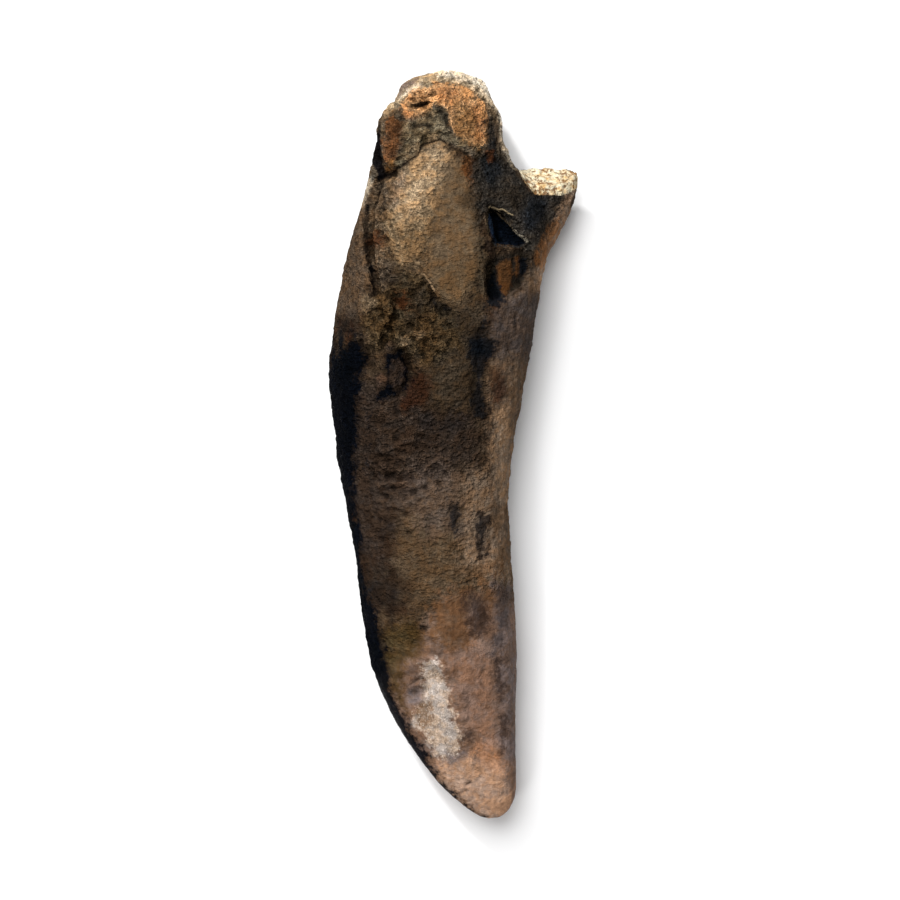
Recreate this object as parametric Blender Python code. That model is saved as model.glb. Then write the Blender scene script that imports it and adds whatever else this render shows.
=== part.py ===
"""A fossil sabre-tooth canine, lying on its side: one solid, built in metres with +Z up.

Seen from above, +Y points to the broken root end and -Y to the tip of the crown. The tooth rests on a
narrow flat on its underside, at Z = 0.
"""

import bmesh
import bpy
import numpy as np
from mathutils import Vector, noise

# The driving dimensions, in millimetres
MM = 0.001
LENGTH = 180.0
ROUND_STEPS = 96
RING_SPACING = 1.2
CAP_RINGS = 6
VOXEL = 0.85
RELAX_STEPS = 4
DECIMATE_TO = 0.14
REST_CUTTER = (90.0, 240.0, 20.0)

# How square the sections are: 2 is an ellipse, and a larger number is boxier
ROOT_SQUARENESS = 2.3
CROWN_SQUARENESS = 2.0
FLANGE_SQUARENESS = 2.4
CROWN_STARTS_Y = -10.0
CROWN_FULL_Y = -50.0

# The body from the root end to the tip: left x and y, right x and y, then the heights of its underside, its
# edge and its crest
BODY_STATIONS = (
    (-5.8, 89.6, -0.6, 89.8, 10.4, 12.2, 14.0),
    (-10.1, 88.5, 4.1, 88.5, 7.4, 12.4, 17.6),
    (-12.8, 86.6, 7.0, 86.6, 5.4, 12.6, 20.2),
    (-14.2, 83.0, 8.6, 83.0, 3.8, 12.8, 22.4),
    (-16.4, 78.9, 10.7, 78.9, 2.2, 12.8, 24.0),
    (-18.8, 73.1, 11.4, 73.1, 1.0, 12.8, 25.2),
    (-19.4, 69.8, 12.8, 69.8, 0.5, 12.8, 25.7),
    (-20.0, 67.4, 14.2, 67.4, 0.1, 12.8, 26.1),
    (-20.9, 64.0, 17.1, 64.0, -0.2, 12.8, 26.6),
    (-21.7, 60.9, 19.0, 61.0, -0.4, 12.8, 27.0),
    (-23.3, 54.9, 20.9, 55.3, -0.5, 12.8, 27.7),
    (-25.7, 47.2, 22.2, 47.6, -0.5, 12.8, 28.4),
    (-27.4, 39.0, 20.9, 39.9, -0.5, 12.8, 28.8),
    (-29.4, 25.5, 18.3, 25.5, -0.5, 12.8, 29.1),
    (-30.1, 15.9, 16.4, 15.4, -0.5, 12.8, 29.0),
    (-28.6, 1.4, 14.2, 1.4, -0.5, 12.6, 28.3),
    (-26.2, -13.0, 12.8, -11.8, -0.5, 12.4, 27.2),
    (-23.8, -27.4, 13.5, -25.5, -0.5, 12.2, 25.8),
    (-22.1, -41.9, 14.4, -39.5, -0.3, 11.8, 24.0),
    (-19.7, -53.9, 14.9, -50.3, 0.4, 11.4, 22.0),
    (-14.7, -65.9, 14.7, -61.1, 1.6, 11.0, 19.6),
    (-8.2, -75.5, 14.7, -70.7, 3.2, 10.6, 17.2),
    (-1.7, -83.5, 14.9, -79.2, 5.2, 10.4, 15.0),
    (2.9, -87.6, 14.7, -84.0, 6.8, 10.4, 13.6),
    (5.8, -89.3, 13.5, -87.1, 8.0, 10.4, 12.6),
    (7.9, -90.0, 11.1, -89.5, 9.2, 10.4, 11.4),
)

# The flange is the back wall of the root, broken off across. Its stations start inside the body and run past
# the fracture, which cuts them
FLANGE_STATIONS = (
    (-4.0, 24.0, 15.0, 24.0, 4.0, 9.0, 20.0),
    (-2.0, 35.1, 19.6, 35.1, 3.4, 8.2, 19.8),
    (0.0, 44.8, 22.2, 44.8, 3.8, 7.8, 19.2),
    (1.5, 49.6, 24.1, 49.6, 4.4, 7.6, 18.6),
    (3.0, 54.4, 26.6, 54.4, 5.0, 7.6, 18.0),
    (4.0, 59.2, 29.0, 59.2, 5.8, 7.6, 17.2),
    (4.0, 65.4, 30.0, 65.4, 6.4, 7.8, 16.8),
    (4.0, 74.0, 30.4, 74.0, 6.4, 7.8, 16.8),
)
FRACTURE_POINT = (20.0, 61.8, 16.8)
FRACTURE_LEAN = 0.5

# The crust is the mineral layer cemented over the root end. Its lower edge is a ledge across the tooth
CRUST = (
    (-24.0, 64.0), (-15.3, 65.4), (-13.6, 67.1), (-11.9, 67.8), (-10.5, 69.3), (-9.0, 70.0), (-8.3, 71.5),
    (-7.7, 72.8), (-4.9, 73.5), (-3.5, 74.1), (-2.0, 73.4), (-0.5, 72.1), (3.8, 70.2), (7.5, 68.2),
    (14.0, 67.0), (20.0, 95.0), (-24.0, 95.0),
)
SMOOTH_PLATE = (
    (-13.9, 64.6), (-11.9, 66.6), (-10.0, 68.4), (-7.9, 70.8), (-4.1, 72.4), (-0.7, 70.8), (2.4, 67.8),
    (3.8, 62.8), (5.3, 56.5), (6.3, 49.6), (6.3, 43.5), (4.6, 38.0), (1.4, 34.4), (-0.7, 33.9),
    (-4.1, 35.8), (-5.8, 38.7), (-7.2, 41.1), (-13.0, 42.8), (-15.6, 47.2), (-15.4, 55.6),
)
ROOT_END_SHELF = (
    (-24.0, 82.0), (-12.9, 82.8), (-10.5, 84.6), (-7.9, 86.3), (-4.9, 87.4), (-1.7, 88.1), (-2.0, 95.0),
    (-24.0, 95.0),
)
LEFT_LOBE = (
    (-16.9, 80.6), (-13.4, 81.4), (-12.2, 77.4), (-13.4, 71.4), (-14.4, 67.6), (-15.5, 66.0), (-16.4, 68.4),
    (-16.9, 74.0),
)
SLIT_FLOOR = ((-12.6, 81.2), (-11.8, 82.5), (-4.9, 83.4), (-4.6, 82.0), (-8.0, 81.4))
CRUST_BASIN = ((-10.4, 79.0), (-5.4, 79.4), (-3.6, 76.6), (-6.4, 75.6), (-10.2, 76.0))
PIT = ((7.7, 56.7), (8.9, 54.0), (10.1, 48.6), (16.6, 48.4), (14.2, 52.2), (11.1, 56.1))
WINDOW = ((10.1, 47.8), (17.8, 48.2), (16.8, 38.3), (11.5, 35.6), (7.7, 34.4), (7.5, 41.1), (9.1, 44.3))
POLISHED_FACE = (
    (-12.0, -54.0), (-1.0, -54.0), (2.6, -66.0), (4.4, -74.0), (-1.0, -78.0), (-8.0, -72.0), (-13.0, -62.0),
)

# Outlines on the upper side, as (outline, height, width of its slope)
UPPER_PATCHES = {
    "crust": (CRUST, 1.4, 1.2),
    "smooth plate": (SMOOTH_PLATE, 0.6, 4.0),
    "shelf at the root end": (ROOT_END_SHELF, -1.3, 1.2),
    "left lobe": (LEFT_LOBE, 1.3, 1.8),
    "floor of the slit": (SLIT_FLOOR, -2.4, 1.4),
    "basin in the crust": (CRUST_BASIN, -1.4, 2.2),
    "three-cornered pit": (PIT, -3.8, 1.8),
    "sunken window": (WINDOW, -1.4, 1.4),
    "polished face of the crown": (POLISHED_FACE, -0.5, 3.0),
}

# Lines on the upper side, as (line, height, half width)
UPPER_LINES = {
    "hollow under the left lobe": (((-17.8, 68.0), (-16.2, 64.6), (-14.6, 64.4)), -2.4, 2.0),
    "groove left of the plate": (
        ((-17.4, 64.6), (-19.2, 60.6), (-20.4, 55.6), (-20.6, 49.6), (-20.0, 44.0), (-18.0, 36.0)), -1.7, 1.8,
    ),
    "rib left of the groove": (
        ((-21.4, 58.0), (-23.4, 50.0), (-22.8, 40.0), (-21.0, 31.0), (-23.0, 22.0)), 0.7, 2.4,
    ),
    "hollow left of the window": (((8.6, 42.6), (8.8, 39.6), (9.8, 36.0)), -2.0, 2.2),
    "hollow below the plate": (((-4.4, 33.0), (-1.6, 31.4)), -1.3, 2.4),
    "lip of the rough field": (((-16.8, 37.0), (-15.4, 31.0), (-15.8, 27.0)), 1.2, 1.8),
    "first hollow of the rough field": (((-12.4, 22.0), (-9.8, 17.6), (-13.2, 13.4)), -1.5, 2.4),
    "second hollow of the rough field": (((-22.4, 24.0), (-20.0, 19.6)), -1.3, 3.0),
    "sunken streak on the right": (((6.6, 26.6), (6.4, 20.0), (5.0, 12.4)), -0.9, 2.6),
    "first wrinkle": (((-16.5, -0.6), (-13.0, -0.2), (-9.5, 1.6)), 0.8, 1.5),
    "second wrinkle": (((-17.6, -9.2), (-13.0, -8.6), (-8.6, -8.2)), 0.8, 1.5),
    "third wrinkle": (((-14.5, -13.6), (-9.5, -13.0)), 0.6, 1.5),
    "keel of the crown": (
        ((8.2, -25.0), (11.1, -39.5), (12.0, -51.5), (12.4, -65.9), (12.0, -78.0)), 0.7, 2.6,
    ),
    "gum line of the crown": (
        ((-18.0, -50.0), (-13.0, -53.2), (-9.4, -50.8), (-5.3, -50.4), (-1.0, -52.5)), 0.9, 2.2,
    ),
    "chip under the gum line": (((-10.4, -59.0), (-7.4, -57.8)), -1.2, 1.8),
    "bump above the polished face": (((-4.4, -44.0), (-2.4, -46.8)), 0.8, 2.4),
    "chips near the tip": (((5.2, -76.6), (6.6, -79.4)), -0.6, 1.6),
}

# The same on the underside, which is plainer
LOWER_PATCHES = {
    "crust": (CRUST, 1.0, 1.6),
    "spall": (((6.0, -24.0), (12.6, -31.0), (11.6, -45.0), (7.0, -42.0), (4.0, -34.0)), -1.1, 1.4),
    "flaked patch": (((-20.0, 52.0), (-14.0, 56.0), (-12.0, 47.0), (-17.0, 40.0), (-22.0, 44.0)), -0.9, 1.4),
}
LOWER_LINES = {
    "furrow of the root": (((-20.0, 36.0), (-23.0, 22.0), (-23.0, 6.0), (-20.0, -10.0)), -1.2, 4.0),
    "hollow in the crust": (((-8.0, 77.0), (0.0, 74.0)), -1.6, 4.0),
    "scratch across the crown": (((-8.0, -56.0), (4.0, -62.0)), -0.7, 1.6),
}

# The crumbled field below the smooth plate, as its middle x and y and its half width and half length. Its
# crumbling is full at the first of the shares of that size, and gone at the second
ROUGH_FIELD = (-12.5, 27.0, 10.0, 15.0)
ROUGH_FIELD_FADE = (0.5, 1.1)

# Unevenness, as the size of the lumps, their height and the seed of their pattern
BROAD_LUMPS = (12.0, 0.6, 3.0)
FINE_LUMPS = (4.4, 0.35, 5.0)
ROUGH_FIELD_LUMPS = (3.6, 1.5, 7.0)
CRUST_LUMPS = (4.6, 1.1, 9.0)
FRACTURE_LUMPS = (3.0, 1.0, 11.0)
CROWN_LUMP_SHARE = 0.45
CRUST_SLOPE = 2.0

# How far a face turns up, down or along the fracture before it counts as that side of the tooth
SIDE_FACING = (0.2, 0.6)
RESTING_FACING = (0.93, 0.99)
FRACTURE_FACING = (0.85, 0.97)
FRACTURE_FROM_X = (14.0, 17.0)

# The fossil's mean colour, as a linear colour
FOSSIL_COLOUR = (0.105, 0.066, 0.040, 1.0)
FOSSIL_ROUGHNESS = 0.6


def clear_scene():
    for item in list(bpy.data.objects):
        bpy.data.objects.remove(item)


def ramp(value, low, high):
    """0 below low, 1 above high, and a smooth rise between them."""
    share = np.clip((value - low) / (high - low), 0.0, 1.0)
    return share * share * (3.0 - 2.0 * share)


def smooth_curve(knots, values, places):
    """A cubic curve through values at knots, read at places."""
    slopes = np.gradient(values, knots, axis=0)
    index = np.clip(np.searchsorted(knots, places) - 1, 0, len(knots) - 2)
    gap = (knots[index + 1] - knots[index])[:, None]
    share = (places - knots[index])[:, None] / gap
    rise = values[index + 1] - values[index]
    bend_out = slopes[index] * gap - rise
    bend_in = rise - slopes[index + 1] * gap
    bend = bend_out * (1.0 - share) + bend_in * share
    return values[index] + share * rise + share * (1.0 - share) * bend


def stations_along(stations):
    """The stations, read every RING_SPACING along the tooth."""
    rows = np.array(stations)
    middles = (rows[:, 0:2] + rows[:, 2:4]) / 2.0
    steps = np.linalg.norm(np.diff(middles, axis=0), axis=1)
    knots = np.concatenate([[0.0], np.cumsum(steps)])
    count = int(knots[-1] / RING_SPACING) + 1
    return smooth_curve(knots, rows, np.linspace(0.0, knots[-1], count))


def section(row, squareness):
    """One closed ring across the tooth, rounded between its two edges, its underside and its crest."""
    left, right = row[0:2], row[2:4]
    underside, edge, crest = row[4:7]
    turn = np.linspace(0.0, 2.0 * np.pi, ROUND_STEPS, endpoint=False)
    across = np.sign(np.cos(turn)) * np.abs(np.cos(turn)) ** (2.0 / squareness)
    upward = np.sign(np.sin(turn)) * np.abs(np.sin(turn)) ** (2.0 / squareness)
    plan = (left + right) / 2.0 + across[:, None] * (right - left) / 2.0
    height = edge + upward * np.where(upward > 0.0, crest - edge, edge - underside)
    return np.column_stack((plan, height))


def loft(name, rings):
    """A closed mesh over the rings, from +Y to -Y, with smaller rings and a pole that close each end."""
    shares = np.linspace(0.0, 1.0, CAP_RINGS, endpoint=False)[1:]
    start, end = rings[0].mean(axis=0), rings[-1].mean(axis=0)
    first = [start + (rings[0] - start) * share for share in shares]
    last = [end + (rings[-1] - end) * share for share in shares[::-1]]
    rings = first + rings + last
    points = np.concatenate(rings + [start[None], end[None]])
    start_pole = len(rings) * ROUND_STEPS
    end_pole = start_pole + 1
    last_ring = start_pole - ROUND_STEPS
    faces = []
    for around in range(ROUND_STEPS):
        after = (around + 1) % ROUND_STEPS
        for here in range(0, last_ring, ROUND_STEPS):
            there = here + ROUND_STEPS
            faces.append((here + after, there + after, there + around, here + around))
        faces.append((start_pole, after, around))
        faces.append((end_pole, last_ring + around, last_ring + after))
    mesh = bpy.data.meshes.new(name)
    mesh.from_pydata(points.tolist(), [], faces)
    return mesh


def make_body():
    rows = stations_along(BODY_STATIONS)
    crown_share = ramp(-rows[:, 1], -CROWN_STARTS_Y, -CROWN_FULL_Y)
    squareness = ROOT_SQUARENESS + (CROWN_SQUARENESS - ROOT_SQUARENESS) * crown_share
    return loft("body", [section(row, square) for row, square in zip(rows, squareness)])


def make_flange():
    """The back wall of the root, cut by the slanted plane of its fracture."""
    rings = [section(row, FLANGE_SQUARENESS) for row in stations_along(FLANGE_STATIONS)]
    mesh = loft("flange", rings[::-1])
    shape = bmesh.new()
    shape.from_mesh(mesh)
    everything = shape.verts[:] + shape.edges[:] + shape.faces[:]
    cut = bmesh.ops.bisect_plane(
        shape, geom=everything, plane_co=FRACTURE_POINT, plane_no=fracture_normal(), clear_outer=True
    )
    rim = [edge for edge in cut["geom_cut"] if isinstance(edge, bmesh.types.BMEdge)]
    bmesh.ops.edgeloop_fill(shape, edges=rim)
    shape.to_mesh(mesh)
    shape.free()
    return mesh


def fracture_normal():
    return Vector((0.0, 1.0, FRACTURE_LEAN)).normalized()


def distance_to_line(x, y, line):
    """How far each point is from a line of several stretches, seen from above."""
    best = np.full(x.shape, np.inf)
    for (ax, ay), (bx, by) in zip(line, line[1:]):
        dx, dy = bx - ax, by - ay
        share = np.clip(((x - ax) * dx + (y - ay) * dy) / (dx * dx + dy * dy), 0.0, 1.0)
        best = np.minimum(best, np.hypot(x - ax - share * dx, y - ay - share * dy))
    return best


def inside(x, y, outline, slope_width):
    """1 well inside a closed outline and 0 well outside it, with a slope along its edge."""
    closed = list(outline) + [outline[0]]
    within = np.zeros(x.shape, bool)
    for (ax, ay), (bx, by) in zip(closed, closed[1:]):
        if ay != by:
            crosses = (ay > y) != (by > y)
            within ^= crosses & (x < ax + (y - ay) * (bx - ax) / (by - ay))
    depth = distance_to_line(x, y, closed) * np.where(within, 1.0, -1.0)
    return ramp(depth, -slope_width / 2.0, slope_width / 2.0)


def lumps(points, kind):
    """Smooth noise with lumps of one kind, up to their height above and below the surface."""
    size, height, seed = kind
    offset = Vector((seed, 2.0 * seed, -seed))
    return height * np.array([noise.noise(Vector(point) / size + offset) for point in points])


def relief(x, y, patches, lines):
    height = np.zeros(x.shape)
    for outline, rise, slope_width in patches.values():
        height += rise * inside(x, y, outline, slope_width)
    for line, rise, half_width in lines.values():
        height += rise * (1.0 - ramp(distance_to_line(x, y, line), 0.0, half_width))
    return height


def lumpy_relief(points, upper, lower, resting):
    """The unevenness all over, which is rougher on the crust and in the crumbled field."""
    x, y = points[:, 0], points[:, 1]
    crown_share = ramp(-y, -CROWN_STARTS_Y, -CROWN_FULL_Y)
    height = lumps(points, BROAD_LUMPS) + lumps(points, FINE_LUMPS)
    height *= 1.0 - (1.0 - CROWN_LUMP_SHARE) * crown_share
    crust = np.maximum(upper, lower) * inside(x, y, CRUST, CRUST_SLOPE)
    height += crust * lumps(points, CRUST_LUMPS)
    middle_x, middle_y, half_x, half_y = ROUGH_FIELD
    field = 1.0 - ramp(np.hypot((x - middle_x) / half_x, (y - middle_y) / half_y), *ROUGH_FIELD_FADE)
    height += upper * field * lumps(points, ROUGH_FIELD_LUMPS)
    return height * (1.0 - resting)


def carve(mesh):
    """Moves the points of the mesh along their normals by the relief where they lie."""
    count = len(mesh.vertices)
    points, normals = np.empty(count * 3), np.empty(count * 3)
    mesh.vertices.foreach_get("co", points)
    mesh.vertices.foreach_get("normal", normals)
    points, normals = points.reshape(-1, 3) / MM, normals.reshape(-1, 3)
    x, y, facing = points[:, 0], points[:, 1], normals[:, 2]
    broken = ramp(normals @ np.array(fracture_normal()), *FRACTURE_FACING) * ramp(x, *FRACTURE_FROM_X)
    upper = ramp(facing, *SIDE_FACING) * (1.0 - broken)
    lower = ramp(-facing, *SIDE_FACING)
    resting = ramp(-facing, *RESTING_FACING)
    height = lumpy_relief(points, upper, lower, resting)
    height += upper * relief(x, y, UPPER_PATCHES, UPPER_LINES)
    height += lower * (1.0 - resting) * relief(x, y, LOWER_PATCHES, LOWER_LINES)
    height += broken * lumps(points, FRACTURE_LUMPS)
    mesh.vertices.foreach_set("co", ((points + normals * height[:, None]) * MM).ravel())
    mesh.update()


def fossil_material():
    material = bpy.data.materials.new("fossil")
    material.use_nodes = True
    shader = material.node_tree.nodes["Principled BSDF"]
    shader.inputs["Base Color"].default_value = FOSSIL_COLOUR
    shader.inputs["Roughness"].default_value = FOSSIL_ROUGHNESS
    return material


def make_tooth():
    """Body and flange under one skin, with the relief carved in it."""
    tooth = bpy.data.objects.new("tooth", make_body())
    flange = bpy.data.objects.new("flange", make_flange())
    bpy.ops.object.select_all(action="DESELECT")
    for piece in (tooth, flange):
        bpy.context.collection.objects.link(piece)
        piece.select_set(True)
    bpy.context.view_layer.objects.active = tooth
    bpy.ops.object.join()
    for vertex in tooth.data.vertices:
        vertex.co *= MM
    skin = tooth.modifiers.new("skin", "REMESH")
    skin.mode = "VOXEL"
    skin.voxel_size = VOXEL * MM
    skin.use_smooth_shade = True
    relax = tooth.modifiers.new("relax", "SMOOTH")
    relax.iterations = RELAX_STEPS
    bpy.ops.object.modifier_apply(modifier="skin")
    bpy.ops.object.modifier_apply(modifier="relax")
    carve(tooth.data)
    tooth.data.materials.append(fossil_material())
    return tooth


def make_rest_cutter():
    """A block whose top face is the surface that the tooth rests on."""
    bpy.ops.mesh.primitive_cube_add(size=1.0, location=(0.0, 0.0, -REST_CUTTER[2] * MM / 2.0))
    cutter = bpy.context.object
    cutter.name = "rest_cutter"
    cutter.scale = [side * MM for side in REST_CUTTER]
    bpy.ops.object.transform_apply(location=False, rotation=False, scale=True)
    cutter.hide_render = True
    cutter.display_type = "WIRE"
    return cutter


def thin_and_flatten(tooth):
    """Uses fewer faces where the surface is plain, and cuts the flat that the tooth rests on."""
    thin = tooth.modifiers.new("thin", "DECIMATE")
    thin.ratio = DECIMATE_TO
    rest = tooth.modifiers.new("rest", "BOOLEAN")
    rest.operation = "DIFFERENCE"
    rest.object = make_rest_cutter()


def centre_on_origin(tooth):
    """Centres the finished solid's box on the origin in X and Y, and scales the solid to LENGTH."""
    bpy.context.view_layer.update()
    finished = tooth.evaluated_get(bpy.context.evaluated_depsgraph_get())
    corners = np.array(finished.bound_box)
    low, high = corners.min(axis=0), corners.max(axis=0)
    scale = LENGTH * MM / (high[1] - low[1])
    for vertex in tooth.data.vertices:
        vertex.co.x = (vertex.co.x - (low[0] + high[0]) / 2.0) * scale
        vertex.co.y = (vertex.co.y - (low[1] + high[1]) / 2.0) * scale
        vertex.co.z *= scale


def main():
    clear_scene()
    tooth = make_tooth()
    thin_and_flatten(tooth)
    centre_on_origin(tooth)


main()
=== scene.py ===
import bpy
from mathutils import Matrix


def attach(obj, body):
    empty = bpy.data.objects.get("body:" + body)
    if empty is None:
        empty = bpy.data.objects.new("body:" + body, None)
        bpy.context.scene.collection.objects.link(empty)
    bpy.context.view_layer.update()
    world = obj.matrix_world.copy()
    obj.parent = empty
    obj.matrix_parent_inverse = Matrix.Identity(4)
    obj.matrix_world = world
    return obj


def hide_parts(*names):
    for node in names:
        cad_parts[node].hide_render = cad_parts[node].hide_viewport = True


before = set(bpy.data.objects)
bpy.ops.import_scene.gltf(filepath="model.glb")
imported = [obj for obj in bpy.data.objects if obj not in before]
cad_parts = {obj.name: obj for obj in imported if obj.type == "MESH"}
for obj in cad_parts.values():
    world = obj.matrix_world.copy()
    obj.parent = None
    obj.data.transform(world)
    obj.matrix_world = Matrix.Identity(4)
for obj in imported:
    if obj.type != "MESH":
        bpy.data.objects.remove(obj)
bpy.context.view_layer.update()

from types import SimpleNamespace

import bpy
import numpy as np
from mathutils import Vector

# A fossil sabre-tooth canine lying on a white surface, seen from straight above. The tooth is a finer copy of
# the CAD solid with the small relief carved in, and one material with its patches painted by attributes. The
# outlines and lines below are in millimetres: +X to the broken flange, +Y to the root end. They are drawn as
# they look from straight above, on a level DRAWN_AT above the surface.

MM = 0.001

# The camera, which the outlines are drawn for
CAMERA_AT = (-0.96, -0.96, 614.2)
LENS = 100.0
SENSOR = 36.0
DRAWN_AT = 12.8

# The fine mesh
MERGE_WITHIN = 0.01
VOXEL = 0.52
RELAX_ROUNDS = 8

# How far from its edge a patch is measured, and how often the surface is smoothed to find its hollows and
# heights, which get painted shade and painted light
DEPTH_LIMIT = 10.0
HOLLOW_ROUNDS = 12

# The crust over the root end; its lower edge is the ledge above the smooth plate
CRUST = (
    (-24.0, 64.0), (-15.3, 65.4), (-13.6, 67.1), (-11.9, 67.8), (-10.5, 69.3), (-9.0, 70.0), (-8.3, 71.5),
    (-7.7, 72.8), (-6.5, 73.1), (-4.9, 73.5), (-3.5, 74.1), (-2.0, 73.4), (-0.5, 72.1), (1.4, 71.5),
    (3.8, 69.8), (7.5, 68.2), (14.0, 67.0), (20.0, 95.0), (-24.0, 95.0),
)
CREST = (
    (-22.3, 76.0), (-15.9, 80.3), (-13.2, 82.3), (-10.4, 84.4), (-7.2, 86.1), (-3.4, 87.6), (1.9, 86.6),
    (5.3, 85.2), (7.7, 82.8), (14.0, 79.0), (14.0, 96.0), (-24.0, 96.0),
)
PLATE = (
    (-14.0, 64.5), (-12.0, 66.6), (-10.1, 68.3), (-7.9, 70.7), (-4.1, 72.4), (-0.7, 70.7), (2.4, 67.8),
    (3.8, 62.8), (5.3, 56.5), (6.3, 49.6), (6.3, 43.5), (4.6, 38.0), (1.4, 34.4), (-0.7, 33.9), (-4.1, 35.8),
    (-5.8, 38.7), (-7.2, 41.1), (-13.0, 42.8), (-15.6, 47.2), (-15.4, 55.6),
)
BUMPY_PLATE = (
    (-14.0, 64.5), (-10.1, 68.3), (-4.1, 72.4), (-1.0, 68.0), (-5.5, 58.0), (-6.0, 48.0), (-7.2, 41.1),
    (-13.0, 42.8), (-15.6, 47.2), (-15.4, 55.6),
)
PIT = (
    (8.1, 56.3), (10.3, 56.2), (12.7, 53.7), (15.4, 50.8), (17.8, 49.3), (15.9, 48.1), (9.9, 48.4),
    (8.7, 50.8), (8.1, 53.7),
)
PIT_BROW = (
    (7.2, 56.3), (8.7, 57.5), (10.6, 56.8), (11.7, 57.0), (12.8, 56.3), (14.2, 55.6), (13.0, 54.4),
    (10.0, 55.4),
)
WINDOW = (
    (10.3, 46.0), (17.0, 47.0), (17.6, 44.3), (16.7, 38.9), (11.6, 35.3), (8.7, 35.1), (7.9, 39.9),
    (8.7, 44.3),
)
WINDOW_HOLLOW = (
    (8.6, 41.5), (10.2, 41.8), (10.5, 38.2), (11.9, 36.0), (12.6, 34.8), (10.8, 34.2), (8.8, 34.6),
    (7.6, 36.8), (7.8, 39.8),
)
AMBER = (
    (11.2, 44.2), (12.6, 44.9), (13.8, 44.4), (14.0, 41.5), (13.7, 38.0), (12.6, 36.3), (11.2, 36.9),
    (10.4, 39.8), (10.5, 42.6),
)
AMBER_CHIP = (
    (14.4, 45.2), (15.6, 46.0), (16.2, 44.6), (16.0, 42.4), (15.4, 40.2), (14.8, 40.6), (14.8, 43.0),
)
SLIT = (
    (-12.6, 82.5), (-11.0, 82.3), (-9.6, 82.5), (-8.0, 82.9), (-5.2, 83.0), (-6.4, 82.2), (-7.6, 81.6),
    (-9.4, 81.4), (-11.0, 81.9),
)
FIELD = (
    (-21.2, 36.1), (-16.8, 37.1), (-13.0, 42.3), (-7.2, 40.9), (-3.4, 35.1), (0.5, 31.0), (1.5, 25.0),
    (-3.0, 20.0), (-8.0, 21.0), (-13.0, 22.6), (-15.9, 24.3), (-19.7, 22.6), (-21.7, 27.9),
)
GROOVE_ZONE = (
    (-19.0, 64.0), (-14.4, 64.4), (-15.2, 55.6), (-15.4, 47.2), (-12.6, 42.8), (-14.0, 37.5), (-18.3, 35.6),
    (-20.5, 44.3), (-21.0, 52.0), (-20.0, 58.0),
)
DARK_BAND = (
    (6.6, 79.8), (8.7, 77.9), (10.1, 73.8), (11.2, 70.2), (14.0, 67.6), (15.9, 65.0), (19.0, 61.0),
    (40.0, 61.0), (27.0, 60.9), (25.5, 55.9), (22.0, 50.6), (19.7, 46.0), (18.5, 42.3), (16.8, 46.1),
    (14.0, 50.9), (8.3, 57.3), (6.4, 54.3), (5.2, 61.6), (4.2, 66.9), (4.8, 69.7), (6.9, 71.2), (8.3, 75.0),
)
FLAKE = (
    (-21.4, 33.9), (-19.7, 36.1), (-16.8, 36.3), (-15.0, 35.1), (-14.7, 31.5), (-16.4, 28.4), (-17.6, 26.7),
    (-18.3, 23.8), (-21.2, 24.1), (-21.7, 27.9),
)
CROWN = (
    (-13.0, -49.1), (-8.2, -46.7), (-3.4, -37.1), (6.3, -35.0), (20.0, -40.0), (20.0, -95.0), (-12.0, -95.0),
    (-24.0, -66.0), (-15.0, -52.0),
)
SCUFFED = (
    (-8.0, -51.8), (-4.3, -51.4), (-2.8, -54.4), (-1.6, -61.1), (1.0, -68.3), (2.4, -72.7), (0.4, -75.2),
    (-3.4, -74.6), (-6.3, -70.8), (-9.6, -67.4), (-9.4, -64.0), (-7.2, -60.7), (-7.4, -57.0),
)
WRINKLED = ((-22.0, 8.0), (-10.0, 9.0), (-4.0, 2.0), (-2.0, -8.0), (-8.0, -20.0), (-20.0, -24.0))
BROKEN_FACE = (
    (16.6, 64.2), (19.4, 60.6), (24.3, 60.2), (27.3, 60.6), (29.4, 62.0), (31.2, 63.2), (34.0, 64.0),
    (34.0, 70.0), (14.0, 70.0),
)
DIRTY_END = ((24.0, 68.0), (32.0, 68.0), (32.0, 60.0), (28.0, 61.5), (25.6, 64.0))
PALE_FLAKE = ((-22.6, 35.4), (-20.4, 36.2), (-18.8, 34.8), (-19.8, 32.4), (-21.4, 31.4), (-22.4, 33.0))
PALE_KNOB = ((-13.0, 26.0), (-11.6, 26.6), (-10.4, 25.6), (-10.8, 24.0), (-12.4, 23.8), (-13.4, 24.6))
DUSKY_KNOB = ((-16.4, 24.8), (-15.2, 25.4), (-13.9, 24.4), (-14.4, 22.8), (-15.8, 22.6), (-16.6, 23.6))
RED_KNOB = ((-18.8, 17.0), (-17.4, 17.6), (-16.2, 16.6), (-16.6, 15.0), (-17.8, 14.2), (-18.8, 15.2))
RING_KNOB = (
    (-15.2, 20.6), (-13.6, 21.0), (-12.2, 19.8), (-12.0, 16.0), (-12.8, 13.8), (-14.4, 13.6), (-15.2, 15.6),
    (-15.4, 18.6),
)
PALE_CRUMBS = ((-9.6, 27.4), (-7.4, 28.2), (-6.4, 27.0), (-7.6, 25.6), (-9.2, 26.0))

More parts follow.
